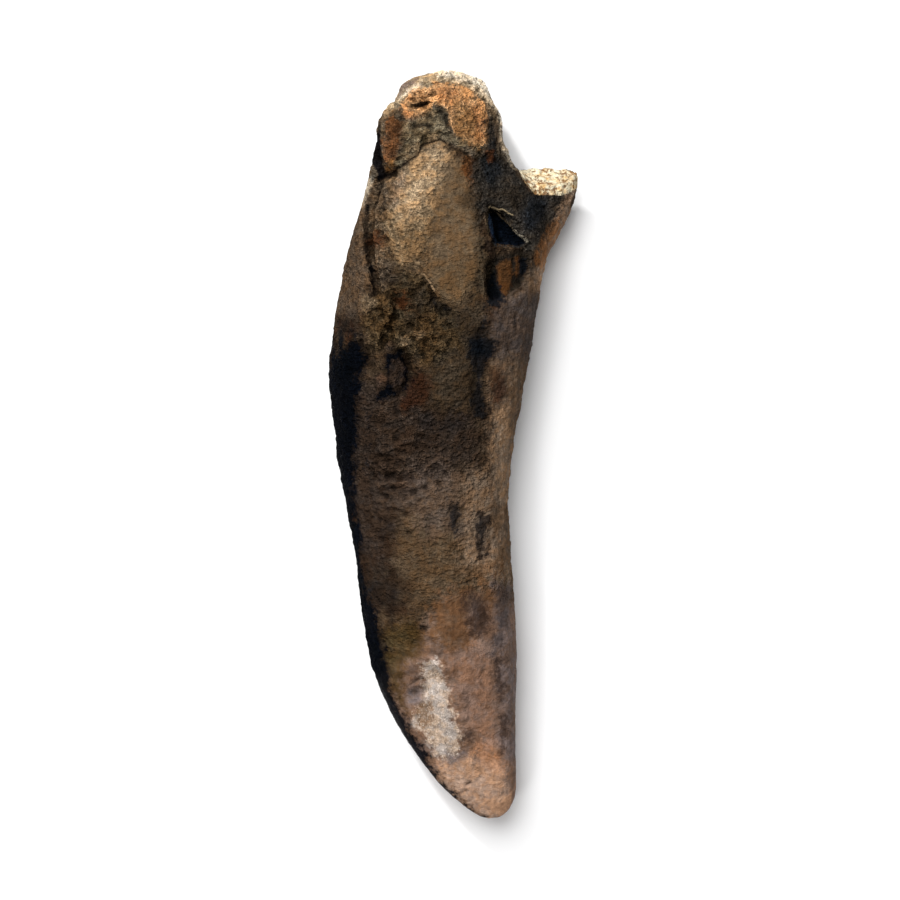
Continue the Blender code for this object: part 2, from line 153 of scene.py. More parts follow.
# Relief of the upper side: (outline, height, width of its slope) and (line, height, half width)
CARVED_PATCHES = {
    "ledge of the crust": (CRUST, 0.4, 0.8),
    "floor of the pit": (PIT, -1.0, 1.0),
    "hollow beside the amber": (WINDOW_HOLLOW, -0.4, 1.8),
    "floor of the window": (WINDOW, -0.15, 1.8),
    "amber island": (AMBER, 0.35, 1.2),
    "amber chip": (AMBER_CHIP, 0.35, 1.0),
    "slit": (SLIT, -1.3, 0.6),
    "lifted flake": (FLAKE, 0.6, 0.9),
    "pale flake": (PALE_FLAKE, 0.4, 0.8),
    "pale knob": (PALE_KNOB, 0.7, 1.4),
    "dusky knob": (DUSKY_KNOB, 0.6, 1.4),
    "red knob": (RED_KNOB, 0.6, 1.4),
    "ring knob": (RING_KNOB, 0.5, 1.2),
    "pale crumbs": (PALE_CRUMBS, 0.5, 0.9),
    "scuffed face with painted highlight of the crown": (SCUFFED, -0.12, 2.0),
}
CARVED_LINES = {
    "crack under the ledge": (
        ((-13.6, 66.8), (-11.9, 67.5), (-10.5, 68.9), (-9.0, 69.6), (-8.2, 71.2),
         (-7.5, 72.5), (-4.9, 73.1), (-3.5, 73.6), (-2.6, 73.3)), -0.15, 0.5,
    ),
    "upper lip of the slit": (
        ((-13.2, 82.9), (-10.6, 84.7), (-7.9, 86.3), (-4.8, 87.5), (-1.7, 88.3)), 0.35, 0.9,
    ),
    "layer of the crest": (
        ((-14.2, 82.8), (-12.2, 85.2), (-9.2, 86.6), (-5.6, 88.0), (-2.4, 88.9)), -0.4, 0.7,
    ),
    "hollows of the grey band": (((-9.9, 77.2), (-7.7, 77.3), (-5.6, 76.8)), -0.9, 1.1),
    "upper fold of the grey band": (((-11.2, 79.0), (-8.2, 80.0), (-5.0, 81.4)), 0.4, 1.1),
    "fold of the grey band": (((-12.8, 76.0), (-10.2, 75.2), (-8.4, 73.4)), 0.5, 1.4),
    "crease right of the grey band": (((-4.2, 81.8), (-2.6, 79.8), (-1.6, 77.6), (-0.6, 75.6)), -0.35, 0.8),
    "groove left of the plate": (
        ((-20.6, 57.8), (-21.3, 53.2), (-20.8, 48.8), (-20.4, 45.2), (-19.6, 41.0), (-18.8, 36.1)), -0.4, 0.6,
    ),
    "brim of that groove": (
        ((-19.4, 63.0), (-21.4, 59.2), (-22.4, 54.9), (-22.1, 49.8), (-21.6, 44.0), (-20.6, 38.6)), 0.35, 1.0,
    ),
    "crack beside the flake": (((-14.4, 36.4), (-13.8, 33.9), (-14.3, 30.8), (-15.9, 27.9)), -0.8, 0.8),
    "upper lip of the pit": (((7.2, 56.3), (8.7, 57.5), (10.6, 56.8), (11.7, 57.0), (14.2, 55.6)), 0.35, 0.8),
    "lower lip of the pit": (((12.9, 54.1), (15.6, 51.4), (18.6, 49.8)), 0.35, 0.8),
    "foot of the window": (((11.1, 35.2), (14.0, 36.5), (17.1, 38.0)), -0.5, 0.8),
    "edge of the first wrinkle": (((-16.0, -0.6), (-12.8, 0.4), (-9.4, 1.8)), 0.25, 0.9),
    "edge of the second wrinkle": (((-17.6, -9.4), (-15.5, -8.2), (-13.1, -9.3), (-9.1, -8.1)), 0.3, 0.9),
    "edge of the third wrinkle": (((-15.4, -11.0), (-12.9, -10.2), (-10.1, -10.6)), 0.25, 0.9),
    "wrinkles above the crown": (((-7.6, -42.6), (-4.6, -42.9)), 0.3, 0.8),
    "next wrinkle above the crown": (((-7.0, -45.4), (-4.0, -45.7)), 0.3, 0.8),
    "last wrinkle above the crown": (((-7.8, -49.0), (-5.4, -48.2), (-3.6, -49.2)), 0.3, 0.9),
    "gum line": (((-11.6, -48.6), (-8.6, -50.4), (-5.0, -50.8), (-3.4, -52.6), (-1.6, -55.6)), 0.35, 0.9),
    "chip of the gum line": (((-10.6, -57.6), (-9.0, -56.2), (-7.6, -56.0)), -0.5, 0.7),
    "ridge of the scuffed face with painted highlight": (
        ((-4.6, -51.6), (-1.9, -55.0), (-0.3, -61.6), (2.1, -67.8), (3.1, -72.7)), 0.25, 1.6,
    ),
    "left edge of the scuffed face with painted highlight": (((-10.8, -63.6), (-9.4, -67.4), (-5.8, -71.2)), 0.3, 1.2),
    "dimple of the crown": (((6.4, -55.6), (7.2, -54.0)), -0.35, 0.9),
    "second dimple of the crown": (((2.0, -59.8), (2.8, -60.0)), -0.3, 0.8),
    "third dimple of the crown": (((1.6, -66.6), (3.2, -66.2)), -0.3, 0.8),
    "fourth dimple of the crown": (((3.4, -69.2), (4.6, -69.4)), -0.25, 0.9),
    "chip near the tip": (((2.9, -81.5), (3.9, -80.9)), -0.6, 0.7),
    "dent near the tip": (((1.6, -83.6), (3.0, -83.0)), -0.4, 0.7),
}
WRINKLE_HEIGHT = 0.9
WRINKLE_SIZE = 1.5
WRINKLE_STRETCH = (0.45, 1.0, 1.0)

# Noise bends the carved outlines and lines, by another part of it in Y than in X
BEND = 0.3
BEND_SIZE = 2.2
BEND_ELSEWHERE = (40.0, 0.0, 0.0)

# The paint, from the bottom up: as seen colour, cover, width of its edge, raggedness, sides, outlines. Paint
# on the "upper" or the "lower" side fades out round the edge of the tooth, and paint on "both" goes round it
PAINT = {
    "lower body": ((98, 78, 56), 0.85, 9.0, 6.0, "both", (
        ((-8.0, -8.2), (8.0, -5.8), (30.0, -5.0), (30.0, -38.0), (3.9, -42.0), (-8.8, -39.0), (-14.8, -29.4),
         (-12.6, -15.0)),
    )),
    "right of the lower body": ((138, 113, 89), 0.85, 5.0, 6.0, "upper", (
        ((3.0, -6.0), (12.6, -6.0), (13.6, -20.0), (13.8, -33.0), (8.0, -33.0), (2.0, -28.0), (1.0, -16.0)),
    )),
    "left of the lower body": ((48, 38, 30), 0.85, 5.0, 6.0, "both", (
        ((-30.0, -20.0), (-17.0, -19.0), (-14.6, -26.0), (-12.0, -34.0), (-13.6, -40.0), (-30.0, -40.0)),
    )),
    "middle of the body": ((62, 50, 41), 0.85, 6.0, 6.0, "both", (
        ((-26.0, 16.0), (-15.0, 15.0), (-5.0, 12.0), (4.3, 10.3), (5.7, -3.8), (-3.4, -8.2),
         (-13.0, -16.0), (-16.8, -27.4), (-26.0, -27.4)),
    )),
    "pinkish grey of the body": ((98, 82, 69), 0.75, 5.0, 6.0, "upper", (
        ((-10.0, -5.0), (-2.0, -4.0), (2.0, -10.0), (0.0, -20.0), (-7.0, -22.0), (-11.0, -14.0)),
    )),
    "right flank": ((112, 91, 71), 0.85, 4.0, 3.5, "both", (
        ((9.6, 28.0), (12.0, 34.0), (17.0, 38.0), (20.5, 50.0), (22.0, 54.0), (36.0, 54.0), (36.0, -30.0),
         (11.4, -27.4), (8.4, -14.0), (8.2, 4.0), (8.6, 16.0)),
    )),
    "pale streak of the right flank": ((154, 127, 100), 0.8, 3.0, 2.5, "upper", (
        ((10.0, 8.0), (13.0, 10.0), (14.6, 0.0), (14.0, -14.0), (10.6, -14.0), (9.0, -2.0)),
    )),
    "mauve flank": ((80, 69, 62), 0.85, 4.0, 4.0, "upper", (
        ((8.7, 33.9), (18.3, 37.1), (24.0, 34.0), (20.0, 18.0), (15.4, 21.1), (10.3, 22.3), (7.5, 27.9)),
    )),
    "below the plate": ((66, 54, 40), 0.85, 4.0, 4.0, "upper", (
        ((-9.0, 37.0), (0.0, 34.5), (5.0, 38.0), (8.0, 34.0), (8.0, 20.0), (6.0, 9.0), (-2.0, 8.0),
         (-8.0, 12.0), (-13.0, 20.0)),
    )),
    "left strip": ((98, 79, 60), 0.9, 2.4, 1.6, "both", (
        ((-40.0, 30.0), (-34.0, 66.0), (-19.0, 66.0), (-20.2, 58.0), (-21.2, 51.5), (-20.9, 45.7),
         (-19.7, 39.9), (-19.4, 34.5), (-21.6, 31.4), (-26.2, 31.0)),
    )),
    "top of the left strip": ((206, 186, 156), 0.9, 1.2, 0.9, "upper", (
        ((-19.0, 67.3), (-18.6, 65.9), (-19.8, 62.8), (-21.6, 58.2), (-22.8, 57.0), (-21.8, 62.1),
         (-20.0, 66.9)),
    )),
    "groove zone": ((118, 96, 72), 0.9, 1.8, 2.0, "upper", (GROOVE_ZONE,)),
    "crumbled field": ((90, 74, 52), 0.9, 3.0, 4.0, "upper", (
        FIELD,
        ((-14.0, 43.6), (-7.6, 41.6), (-4.4, 36.0), (-0.6, 34.0), (0.6, 31.4), (-6.0, 33.0), (-13.0, 38.0)),
    )),
    "tan of the field": ((90, 68, 42), 0.6, 2.0, 4.0, "upper", (
        ((-20.0, 36.0), (-17.0, 37.0), (-13.6, 31.0), (-14.0, 27.0), (-18.0, 24.0), (-20.6, 28.0)),
        ((-9.0, 33.0), (-3.0, 30.0), (-1.0, 24.0), (-7.0, 20.0), (-10.0, 26.0)),
    )),
    "plate": ((106, 85, 61), 1.0, 1.6, 1.6, "upper", (PLATE,)),
    "left of the plate": ((146, 118, 84), 0.85, 5.0, 4.0, "upper", (
        ((-15.5, 62.0), (-6.0, 64.0), (-5.0, 56.0), (-7.0, 46.0), (-13.6, 43.6), (-16.0, 50.0)),
    )),
    "top of the plate": ((216, 180, 136), 0.9, 7.0, 3.0, "upper", (
        ((-13.6, 63.5), (-10.1, 68.3), (-4.1, 73.0), (-2.4, 70.0), (-5.0, 62.0), (-9.0, 56.0),
         (-13.4, 55.0)),
    )),
    "violet of the plate": ((140, 118, 98), 0.6, 2.0, 2.0, "upper", (
        ((-15.4, 63.0), (-12.0, 65.6), (-11.6, 63.0), (-13.6, 58.0), (-15.4, 58.0)),
    )),
    "foot of the plate": ((100, 78, 53), 0.8, 5.0, 3.0, "upper", (
        ((-6.5, 44.0), (5.5, 46.0), (5.5, 38.0), (1.4, 34.4), (-4.1, 35.8)),
    )),
    "shade on the plate": ((54, 46, 35), 0.75, 2.4, 3.0, "upper", (
        ((0.6, 60.8), (3.6, 61.6), (6.4, 58.0), (6.4, 54.0), (5.2, 53.0), (4.2, 56.4), (1.6, 57.4)),
        ((5.0, 49.0), (7.0, 50.0), (7.4, 40.0), (5.6, 37.0), (5.2, 42.0)),
    )),
    "rust of the plate": ((104, 62, 30), 0.75, 1.6, 2.4, "upper", (
        ((2.0, 70.3), (4.2, 70.7), (6.3, 69.8), (6.3, 64.9), (4.3, 62.4), (2.4, 65.9)),
    )),
    "rust below": ((58, 34, 21), 0.85, 2.4, 2.4, "upper", (
        ((-9.6, 18.4), (-7.0, 18.0), (-5.6, 14.4), (-6.1, 11.1), (-9.6, 9.1), (-12.5, 8.2), (-13.2, 9.6),
         (-11.1, 13.6)),
        ((9.6, 18.0), (11.4, 18.2), (12.4, 12.6), (10.6, 10.0), (9.2, 13.0)),
    )),
    "rust beside the field": ((84, 46, 24), 0.75, 2.4, 2.8, "upper", (
        ((-13.9, 36.3), (-12.0, 36.8), (-10.2, 34.6), (-11.5, 32.0), (-13.4, 33.2)),
        ((-20.3, 50.8), (-18.3, 52.0), (-16.8, 50.0), (-17.3, 48.1), (-19.7, 48.1)),
    )),
    "crown": ((132, 104, 85), 0.95, 5.0, 4.0, "both", (CROWN,)),
    "ochre above the crown": ((106, 76, 50), 0.8, 5.0, 6.0, "upper", (
        ((-5.1, -39.0), (-1.0, -34.1), (5.4, -33.9), (10.5, -30.0), (11.5, -36.0), (4.1, -42.0),
         (3.9, -49.5), (-1.4, -51.5), (-6.4, -45.0)),
    )),
    "orange of the crown": ((186, 133, 94), 0.75, 4.0, 4.0, "upper", (
        ((4.6, -72.7), (9.1, -71.7), (12.0, -76.0), (10.6, -79.9), (6.7, -78.4)),
    )),
    "olive of the crown": ((76, 60, 34), 0.85, 4.0, 3.5, "upper", (
        ((-17.6, -44.8), (-10.2, -42.1), (-8.0, -46.0), (-8.6, -50.5), (-12.3, -52.5), (-12.6, -58.7),
         (-11.6, -64.0), (-14.0, -61.0), (-17.0, -54.0)),
    )),
    "pink of the crown": ((146, 112, 91), 0.6, 5.0, 5.0, "upper", (
        ((-1.7, -50.5), (6.3, -49.1), (9.1, -53.4), (10.0, -61.1), (10.0, -70.7), (8.1, -72.7), (4.8, -70.3),
         (1.9, -61.1)),
    )),
    "tip": ((186, 150, 122), 0.85, 4.0, 3.0, "both", (
        ((-3.9, -76.2), (3.8, -75.0), (11.1, -78.4), (13.4, -82.8), (12.4, -87.6), (9.6, -92.0),
         (-4.8, -92.1)),
    )),
    "grey edge of the crown": ((112, 97, 90), 0.7, 3.5, 3.5, "upper", (
        ((9.6, -33.0), (13.6, -34.0), (15.6, -52.0), (15.4, -76.0), (12.0, -76.0), (10.8, -68.0),
         (11.0, -60.0), (9.0, -50.0)),
    )),
    "grey mottle of the crown": ((58, 48, 44), 0.8, 2.6, 4.0, "upper", (
        ((2.4, -36.2), (4.8, -34.6), (7.2, -37.5), (8.2, -42.3), (6.7, -46.2), (4.3, -45.3), (2.9, -40.4)),
        ((9.8, -53.0), (11.4, -51.5), (12.2, -56.5), (11.6, -61.5), (9.9, -59.3)),
        ((11.6, -64.8), (12.9, -64.3), (12.7, -71.6), (11.6, -73.6), (10.9, -69.7)),
        ((2.0, -59.2), (3.6, -59.2), (3.6, -61.0), (2.0, -61.0)),
        ((2.6, -68.4), (4.4, -68.4), (4.4, -70.4), (2.6, -70.4)),
    )),
    # Paler worn enamel, and painted highlight where the scuffed face catches the lamp
    "scuffed face with painted highlight": ((208, 187, 166), 0.9, 1.6, 3.4, "upper", (SCUFFED,)),
    "brown of the scuffed face with painted highlight": ((130, 98, 66), 0.7, 1.6, 2.4, "upper", (
        ((-8.0, -62.2), (-5.2, -60.8), (-4.8, -64.0), (-7.0, -68.0), (-9.4, -66.6)),
    )),
    "bluish foot of the scuffed face with painted highlight": ((126, 112, 106), 0.8, 1.8, 1.8, "upper", (
        ((-2.4, -73.6), (1.0, -73.6), (3.2, -72.4), (2.6, -75.6), (-1.0, -76.6)),
        ((-11.4, -58.6), (-8.4, -57.4), (-7.2, -59.4), (-8.4, -62.0), (-11.0, -61.8)),
    )),
    "crust": ((120, 102, 80), 1.0, 1.0, 0.8, "both", (CRUST,)),
    "crest": ((194, 164, 124), 0.9, 1.6, 1.8, "both", (CREST,)),
    "pale crest": ((250, 230, 198), 0.9, 1.6, 3.0, "both", (
        ((-3.8, 88.6), (0.5, 88.2), (5.3, 86.4), (7.6, 83.9), (10.5, 79.8), (11.5, 71.0), (14.0, 66.0),
         (20.0, 80.0), (10.0, 96.0), (-6.0, 96.0)),
        ((-13.0, 83.0), (-10.6, 84.9), (-7.4, 86.5), (-7.8, 87.5), (-11.2, 85.8), (-13.4, 84.0)),
    )),
    "violet crest": ((112, 92, 84), 0.8, 1.2, 1.8, "upper", (
        ((-14.6, 83.6), (-12.2, 85.8), (-9.6, 87.2), (-8.8, 88.4), (-12.0, 87.6), (-14.8, 85.4)),
    )),
    "orange": ((226, 168, 112), 1.0, 1.0, 1.8, "upper", (
        ((-13.2, 82.9), (-11.0, 84.9), (-7.4, 86.6), (-4.1, 87.5), (-0.5, 87.2), (2.4, 86.1), (5.3, 84.2),
         (7.4, 81.8), (8.1, 78.0), (8.1, 74.6), (6.7, 71.4), (4.4, 72.2), (2.4, 74.0), (0.5, 75.0),
         (-1.8, 77.4), (-2.4, 81.4), (-5.0, 81.4), (-7.2, 80.6), (-10.1, 80.4), (-12.8, 81.0)),
        ((-12.8, 81.3), (-10.1, 80.6), (-7.2, 81.8), (-5.5, 81.2), (-6.4, 79.6), (-9.3, 78.3),
         (-11.8, 79.0)),
    )),
    "deep orange": ((164, 98, 54), 0.5, 1.6, 3.0, "upper", (
        ((-12.6, 80.9), (-10.1, 80.2), (-7.8, 80.6), (-8.4, 79.2), (-10.0, 78.4), (-11.6, 79.2)),
        ((3.2, 82.6), (6.4, 82.0), (7.4, 77.6), (7.0, 73.0), (5.0, 72.6), (4.6, 77.4)),
        ((-3.4, 85.9), (-0.2, 86.1), (1.4, 84.0), (-0.8, 82.6), (-3.8, 84.0)),
    )),
    "dusky orange": ((112, 88, 56), 0.6, 1.6, 3.2, "upper", (
        ((0.6, 82.6), (4.6, 82.4), (5.4, 75.4), (2.2, 75.0), (-0.6, 77.0)),
        ((0.2, 76.4), (3.6, 74.6), (7.0, 72.6), (6.4, 70.8), (4.0, 70.8), (1.2, 73.0)),
    )),
    "rust of the left lobe": ((120, 78, 46), 0.9, 1.4, 3.4, "upper", (
        ((-16.4, 78.0), (-14.6, 79.6), (-12.2, 78.4), (-11.0, 76.8), (-12.6, 75.2), (-13.2, 73.6),
         (-12.2, 72.8), (-13.4, 70.4), (-14.0, 68.8), (-14.6, 66.8), (-16.4, 66.8), (-17.0, 70.4),
         (-17.2, 72.8), (-17.0, 75.2)),
    )),
    "foot of the left lobe": ((172, 126, 76), 0.8, 1.2, 1.2, "upper", (
        ((-16.4, 68.2), (-15.0, 69.0), (-14.0, 67.6), (-15.0, 66.0), (-16.2, 66.4)),
    )),
    "grey band": ((124, 108, 82), 0.95, 1.4, 1.6, "upper", (
        ((-13.0, 77.7), (-10.1, 77.9), (-7.2, 79.5), (-5.3, 81.2), (-1.9, 81.0), (-1.5, 76.5),
         (1.9, 72.2), (-1.9, 73.6), (-5.3, 74.1), (-7.9, 71.9), (-10.3, 69.3), (-13.5, 67.1),
         (-14.0, 68.8), (-12.5, 72.2), (-12.5, 76.0)),
    )),
    "pale of the grey band": ((160, 138, 108), 0.7, 1.4, 1.8, "upper", (
        ((-11.6, 78.4), (-8.6, 80.0), (-5.4, 80.8), (-4.6, 79.6), (-8.4, 78.6), (-11.0, 77.6)),
        ((-5.0, 74.8), (-1.6, 74.4), (0.4, 72.8), (-1.9, 73.8), (-5.0, 74.2)),
        ((-12.6, 69.6), (-10.6, 71.6), (-8.6, 73.4), (-8.4, 72.2), (-10.6, 69.8), (-12.8, 68.2)),
    )),
    "shade of the grey band": ((48, 42, 34), 0.75, 1.2, 1.8, "upper", (
        ((-10.4, 77.4), (-7.6, 77.8), (-5.4, 77.2), (-5.4, 76.4), (-7.8, 76.6), (-10.0, 76.2)),
        ((-4.9, 82.2), (-3.6, 82.4), (-1.8, 79.6), (-0.8, 76.4), (-1.8, 76.6), (-3.4, 79.6)),
        ((-13.8, 72.8), (-12.0, 73.4), (-11.4, 71.4), (-13.0, 70.2)),
        ((-13.6, 80.2), (-12.2, 80.0), (-11.8, 78.2), (-13.6, 77.6)),
    )),
    "grey flank of the crust": ((114, 92, 66), 0.85, 1.8, 1.6, "both", (
        ((7.9, 82.6), (9.3, 80.0), (9.5, 74.0), (8.1, 70.0), (9.0, 66.0), (13.0, 66.0), (11.0, 72.0),
         (10.6, 80.0)),
    )),
    "dark band": ((60, 54, 46), 0.94, 2.2, 2.4, "both", (DARK_BAND,)),
    "bluish black of the dark band": ((32, 37, 41), 0.8, 2.4, 3.2, "upper", (
        ((6.4, 69.0), (9.0, 72.0), (12.4, 66.4), (9.6, 62.0), (6.6, 64.0)),
        ((18.0, 60.2), (23.0, 60.0), (22.4, 56.0), (19.4, 51.6), (17.0, 51.4), (15.6, 55.4)),
        ((8.6, 79.0), (10.0, 77.0), (10.4, 72.0), (9.0, 72.0), (8.2, 75.4)),
    )),
    "rust spots of the dark band": ((112, 66, 34), 0.7, 1.4, 2.0, "upper", (
        ((7.7, 71.6), (9.1, 70.8), (10.0, 69.0), (8.4, 69.0), (6.8, 71.4)),
    )),
    "floor of the window": ((38, 34, 28), 0.95, 1.8, 1.8, "upper", (WINDOW,)),
    "flange edge": ((162, 134, 108), 0.95, 1.6, 1.4, "both", (
        ((31.0, 67.0), (28.4, 62.5), (25.7, 58.1), (24.0, 53.3), (21.9, 48.7), (20.4, 43.9), (19.5, 38.1),
         (26.0, 34.0), (40.0, 50.0), (40.0, 68.0)),
    )),
    "orange of the flange": ((146, 98, 56), 0.75, 1.8, 1.8, "upper", (
        ((19.4, 43.3), (20.4, 47.6), (22.1, 50.9), (24.5, 54.7), (25.7, 55.0), (24.6, 50.5), (22.8, 46.7),
         (21.2, 43.3)),
    )),
    "amber": ((78, 50, 26), 0.95, 1.0, 1.2, "upper", (AMBER, AMBER_CHIP)),
    "pit": ((20, 28, 39), 1.0, 0.8, 0.8, "upper", (PIT,)),
    "brow of the pit": ((34, 32, 28), 0.7, 0.7, 0.5, "upper", (PIT_BROW,)),
    "hollow of the window": ((17, 22, 28), 0.9, 1.0, 2.4, "upper", (
        WINDOW_HOLLOW,
        ((15.6, 44.4), (16.8, 44.8), (17.4, 42.0), (16.4, 40.2), (15.8, 41.4)),
    )),
    "stain": ((4, 8, 15), 0.98, 2.2, 3.6, "both", (
        ((3.8, 25.6), (9.8, 25.2), (9.4, 21.6), (5.4, 20.6), (3.8, 22.2)),
        ((-44.0, 15.0), (-29.8, 19.0), (-29.0, 26.5), (-28.2, 21.5), (-27.2, 28.6), (-26.2, 24.0),
         (-24.6, 28.2), (-22.6, 25.0), (-20.9, 21.7), (-21.4, 18.3), (-23.1, 15.4), (-23.0, 11.1),
         (-22.9, 7.5), (-23.4, 1.4), (-23.9, -5.8), (-23.9, -11.1), (-22.8, -17.8), (-22.0, -25.0),
         (-21.2, -32.2), (-19.6, -38.5), (-17.4, -46.0), (-15.3, -54.4), (-13.2, -62.6), (-9.0, -71.0),
         (-3.6, -79.2), (1.8, -85.2), (7.5, -89.3), (6.3, -99.0), (-44.0, -92.8)),
        ((-15.9, 22.6), (-13.0, 23.1), (-10.6, 21.2), (-10.1, 18.3), (-11.1, 14.7), (-14.2, 12.3),
         (-17.8, 11.1), (-18.8, 11.5), (-17.8, 13.5), (-15.9, 15.4), (-16.6, 18.3), (-16.8, 20.7)),
    )),
    "black beside the left lobe": ((5, 8, 14), 0.96, 0.8, 0.9, "both", (
        ((-20.6, 69.0), (-17.8, 78.0), (-17.6, 73.6), (-17.2, 69.3), (-16.6, 66.0), (-15.8, 65.2),
         (-17.0, 64.2), (-18.4, 63.6), (-18.6, 65.8)),
    )),
    # Painted shade along the groove left of the plate
    "painted shade in the groove": ((10, 11, 13), 0.95, 0.6, 1.8, "upper", (
        ((-21.0, 58.2), (-20.6, 57.6), (-20.9, 54.5), (-20.4, 49.0), (-19.7, 43.0), (-18.5, 37.0),
         (-19.1, 36.0), (-20.1, 42.0), (-20.8, 47.0), (-21.4, 53.0)),
    )),
    "right streak": ((20, 23, 27), 0.85, 1.8, 3.2, "upper", (
        ((3.1, 26.0), (6.3, 26.6), (10.1, 25.5), (9.6, 21.2), (7.4, 20.2), (7.0, 16.8), (6.5, 12.0),
         (7.2, 10.6), (6.9, 7.0), (5.0, 7.0), (4.8, 11.0), (5.3, 14.9), (4.6, 19.2), (3.1, 21.7)),
        ((6.8, 34.0), (7.8, 34.0), (7.6, 29.0), (6.8, 28.5)),
        ((-5.7, 36.4), (-3.8, 34.6), (-1.4, 33.6), (-0.8, 32.0), (-2.8, 31.8), (-5.3, 34.0)),
    )),
    "faint stain": ((26, 26, 27), 0.55, 3.0, 4.6, "upper", (
        ((-28.4, 31.4), (-24.5, 32.2), (-22.5, 30.3), (-22.3, 26.2), (-25.0, 25.5), (-28.9, 26.5)),
        ((-1.7, 6.3), (2.6, 7.0), (2.0, 4.4), (-3.3, 4.0)),
        ((5.3, -15.9), (7.2, -17.8), (9.4, -15.8), (8.7, -21.7), (7.7, -26.5), (6.3, -25.5), (5.5, -20.7)),
        ((0.0, -16.3), (2.3, -18.4), (2.3, -22.5), (0.3, -20.7)),
        ((10.1, -33.1), (12.6, -36.1), (12.9, -43.1), (11.5, -46.7), (10.6, -49.1), (9.1, -52.5),
         (9.8, -46.7), (10.1, -40.9)),
        ((-20.0, -33.3), (-18.4, -33.5), (-18.2, -37.6), (-19.7, -37.2)),
        ((-15.2, -34.3), (-13.6, -34.3), (-13.4, -37.4), (-15.2, -37.2)),
        ((-0.4, 31.4), (2.6, 30.8), (2.8, 26.0), (0.3, 25.3)),
        ((4.3, 29.1), (7.9, 28.6), (8.4, 24.0), (5.1, 25.0)),
        ((-16.0, 44.0), (-13.4, 42.8), (-13.4, 39.4), (-15.6, 38.0), (-18.0, 39.4)),
        ((-10.6, 38.8), (-7.6, 38.6), (-6.0, 34.0), (-8.0, 31.0), (-11.4, 30.6), (-12.6, 27.6),
         (-10.8, 27.6), (-9.8, 34.6)),
        ((-17.2, -20.0), (-15.2, -19.0), (-15.0, -23.0), (-17.0, -24.4)),
        ((-8.0, 8.4), (-5.0, 8.0), (-5.6, 4.4), (-8.0, 5.0)),
    )),
    "streaks of the lower body": ((24, 27, 30), 0.8, 1.4, 3.4, "upper", (
        ((5.3, -16.6), (6.7, -15.9), (8.7, -16.4), (7.9, -20.2), (7.2, -23.8), (7.7, -26.5), (6.3, -27.4),
         (5.5, -23.8), (4.8, -20.2)),
        ((-1.4, -14.9), (0.5, -14.4), (1.9, -15.9), (1.0, -17.8), (1.4, -20.2), (0.0, -21.7), (-0.5, -18.3)),
    )),
    "pale knobs": ((124, 101, 74), 0.8, 0.9, 1.2, "upper", (PALE_FLAKE, PALE_KNOB, PALE_CRUMBS)),
    "dusky knobs": ((62, 50, 41), 0.75, 0.9, 1.2, "upper", (DUSKY_KNOB, RING_KNOB)),
    "red knob": ((84, 64, 50), 0.8, 0.9, 1.2, "upper", (RED_KNOB,)),
    # Painted shade in the slit, under the lip that overhangs it
    "slit": ((12, 9, 8), 0.95, 0.4, 0.4, "upper", (SLIT,)),
    "crumbs right of the plate": ((86, 72, 54), 0.7, 1.2, 2.4, "upper", (
        ((5.8, 50.5), (7.8, 50.0), (8.2, 45.0), (7.5, 40.0), (7.3, 36.4), (6.2, 36.6), (6.0, 43.0)),
    )),
    "dark rim of the flange": ((26, 24, 25), 0.85, 0.8, 1.0, "both", (
        ((29.4, 65.6), (32.0, 66.0), (32.0, 60.0), (28.7, 56.8), (27.9, 58.0), (29.2, 61.4)),
    )),
    "greyish patch left of the plate": ((106, 90, 72), 0.7, 1.6, 2.0, "upper", (
        ((-18.4, 62.8), (-16.6, 63.4), (-15.2, 62.4), (-15.2, 57.6), (-17.6, 57.0), (-18.6, 59.4)),
    )),
    "dark spots of the left lobe": ((50, 38, 28), 0.7, 1.0, 2.0, "upper", (
        ((-16.8, 74.8), (-15.4, 75.2), (-15.0, 73.4), (-16.2, 72.6)),
        ((-14.6, 76.6), (-13.2, 77.4), (-12.8, 75.8), (-14.0, 75.2)),
        ((-15.6, 70.8), (-14.4, 71.2), (-14.2, 69.6), (-15.4, 69.2)),
    )),
    "underside stain": ((18, 21, 26), 0.85, 3.0, 6.0, "lower", (
        ((-30.0, 20.0), (-12.0, 14.0), (-10.0, -4.0), (-16.0, -30.0), (-30.0, -30.0)),
        ((2.0, 40.0), (10.0, 44.0), (12.0, 26.0), (6.0, 20.0)),
        ((0.0, -20.0), (10.0, -24.0), (8.0, -46.0), (-2.0, -40.0)),
    )),
    "underside rust": ((124, 80, 46), 0.8, 3.0, 5.0, "lower", (
        ((-12.0, 86.0), (4.0, 86.0), (8.0, 76.0), (0.0, 70.0), (-12.0, 74.0)),
        ((-14.0, 58.0), (-4.0, 56.0), (-2.0, 44.0), (-10.0, 40.0), (-16.0, 46.0)),
    )),
}

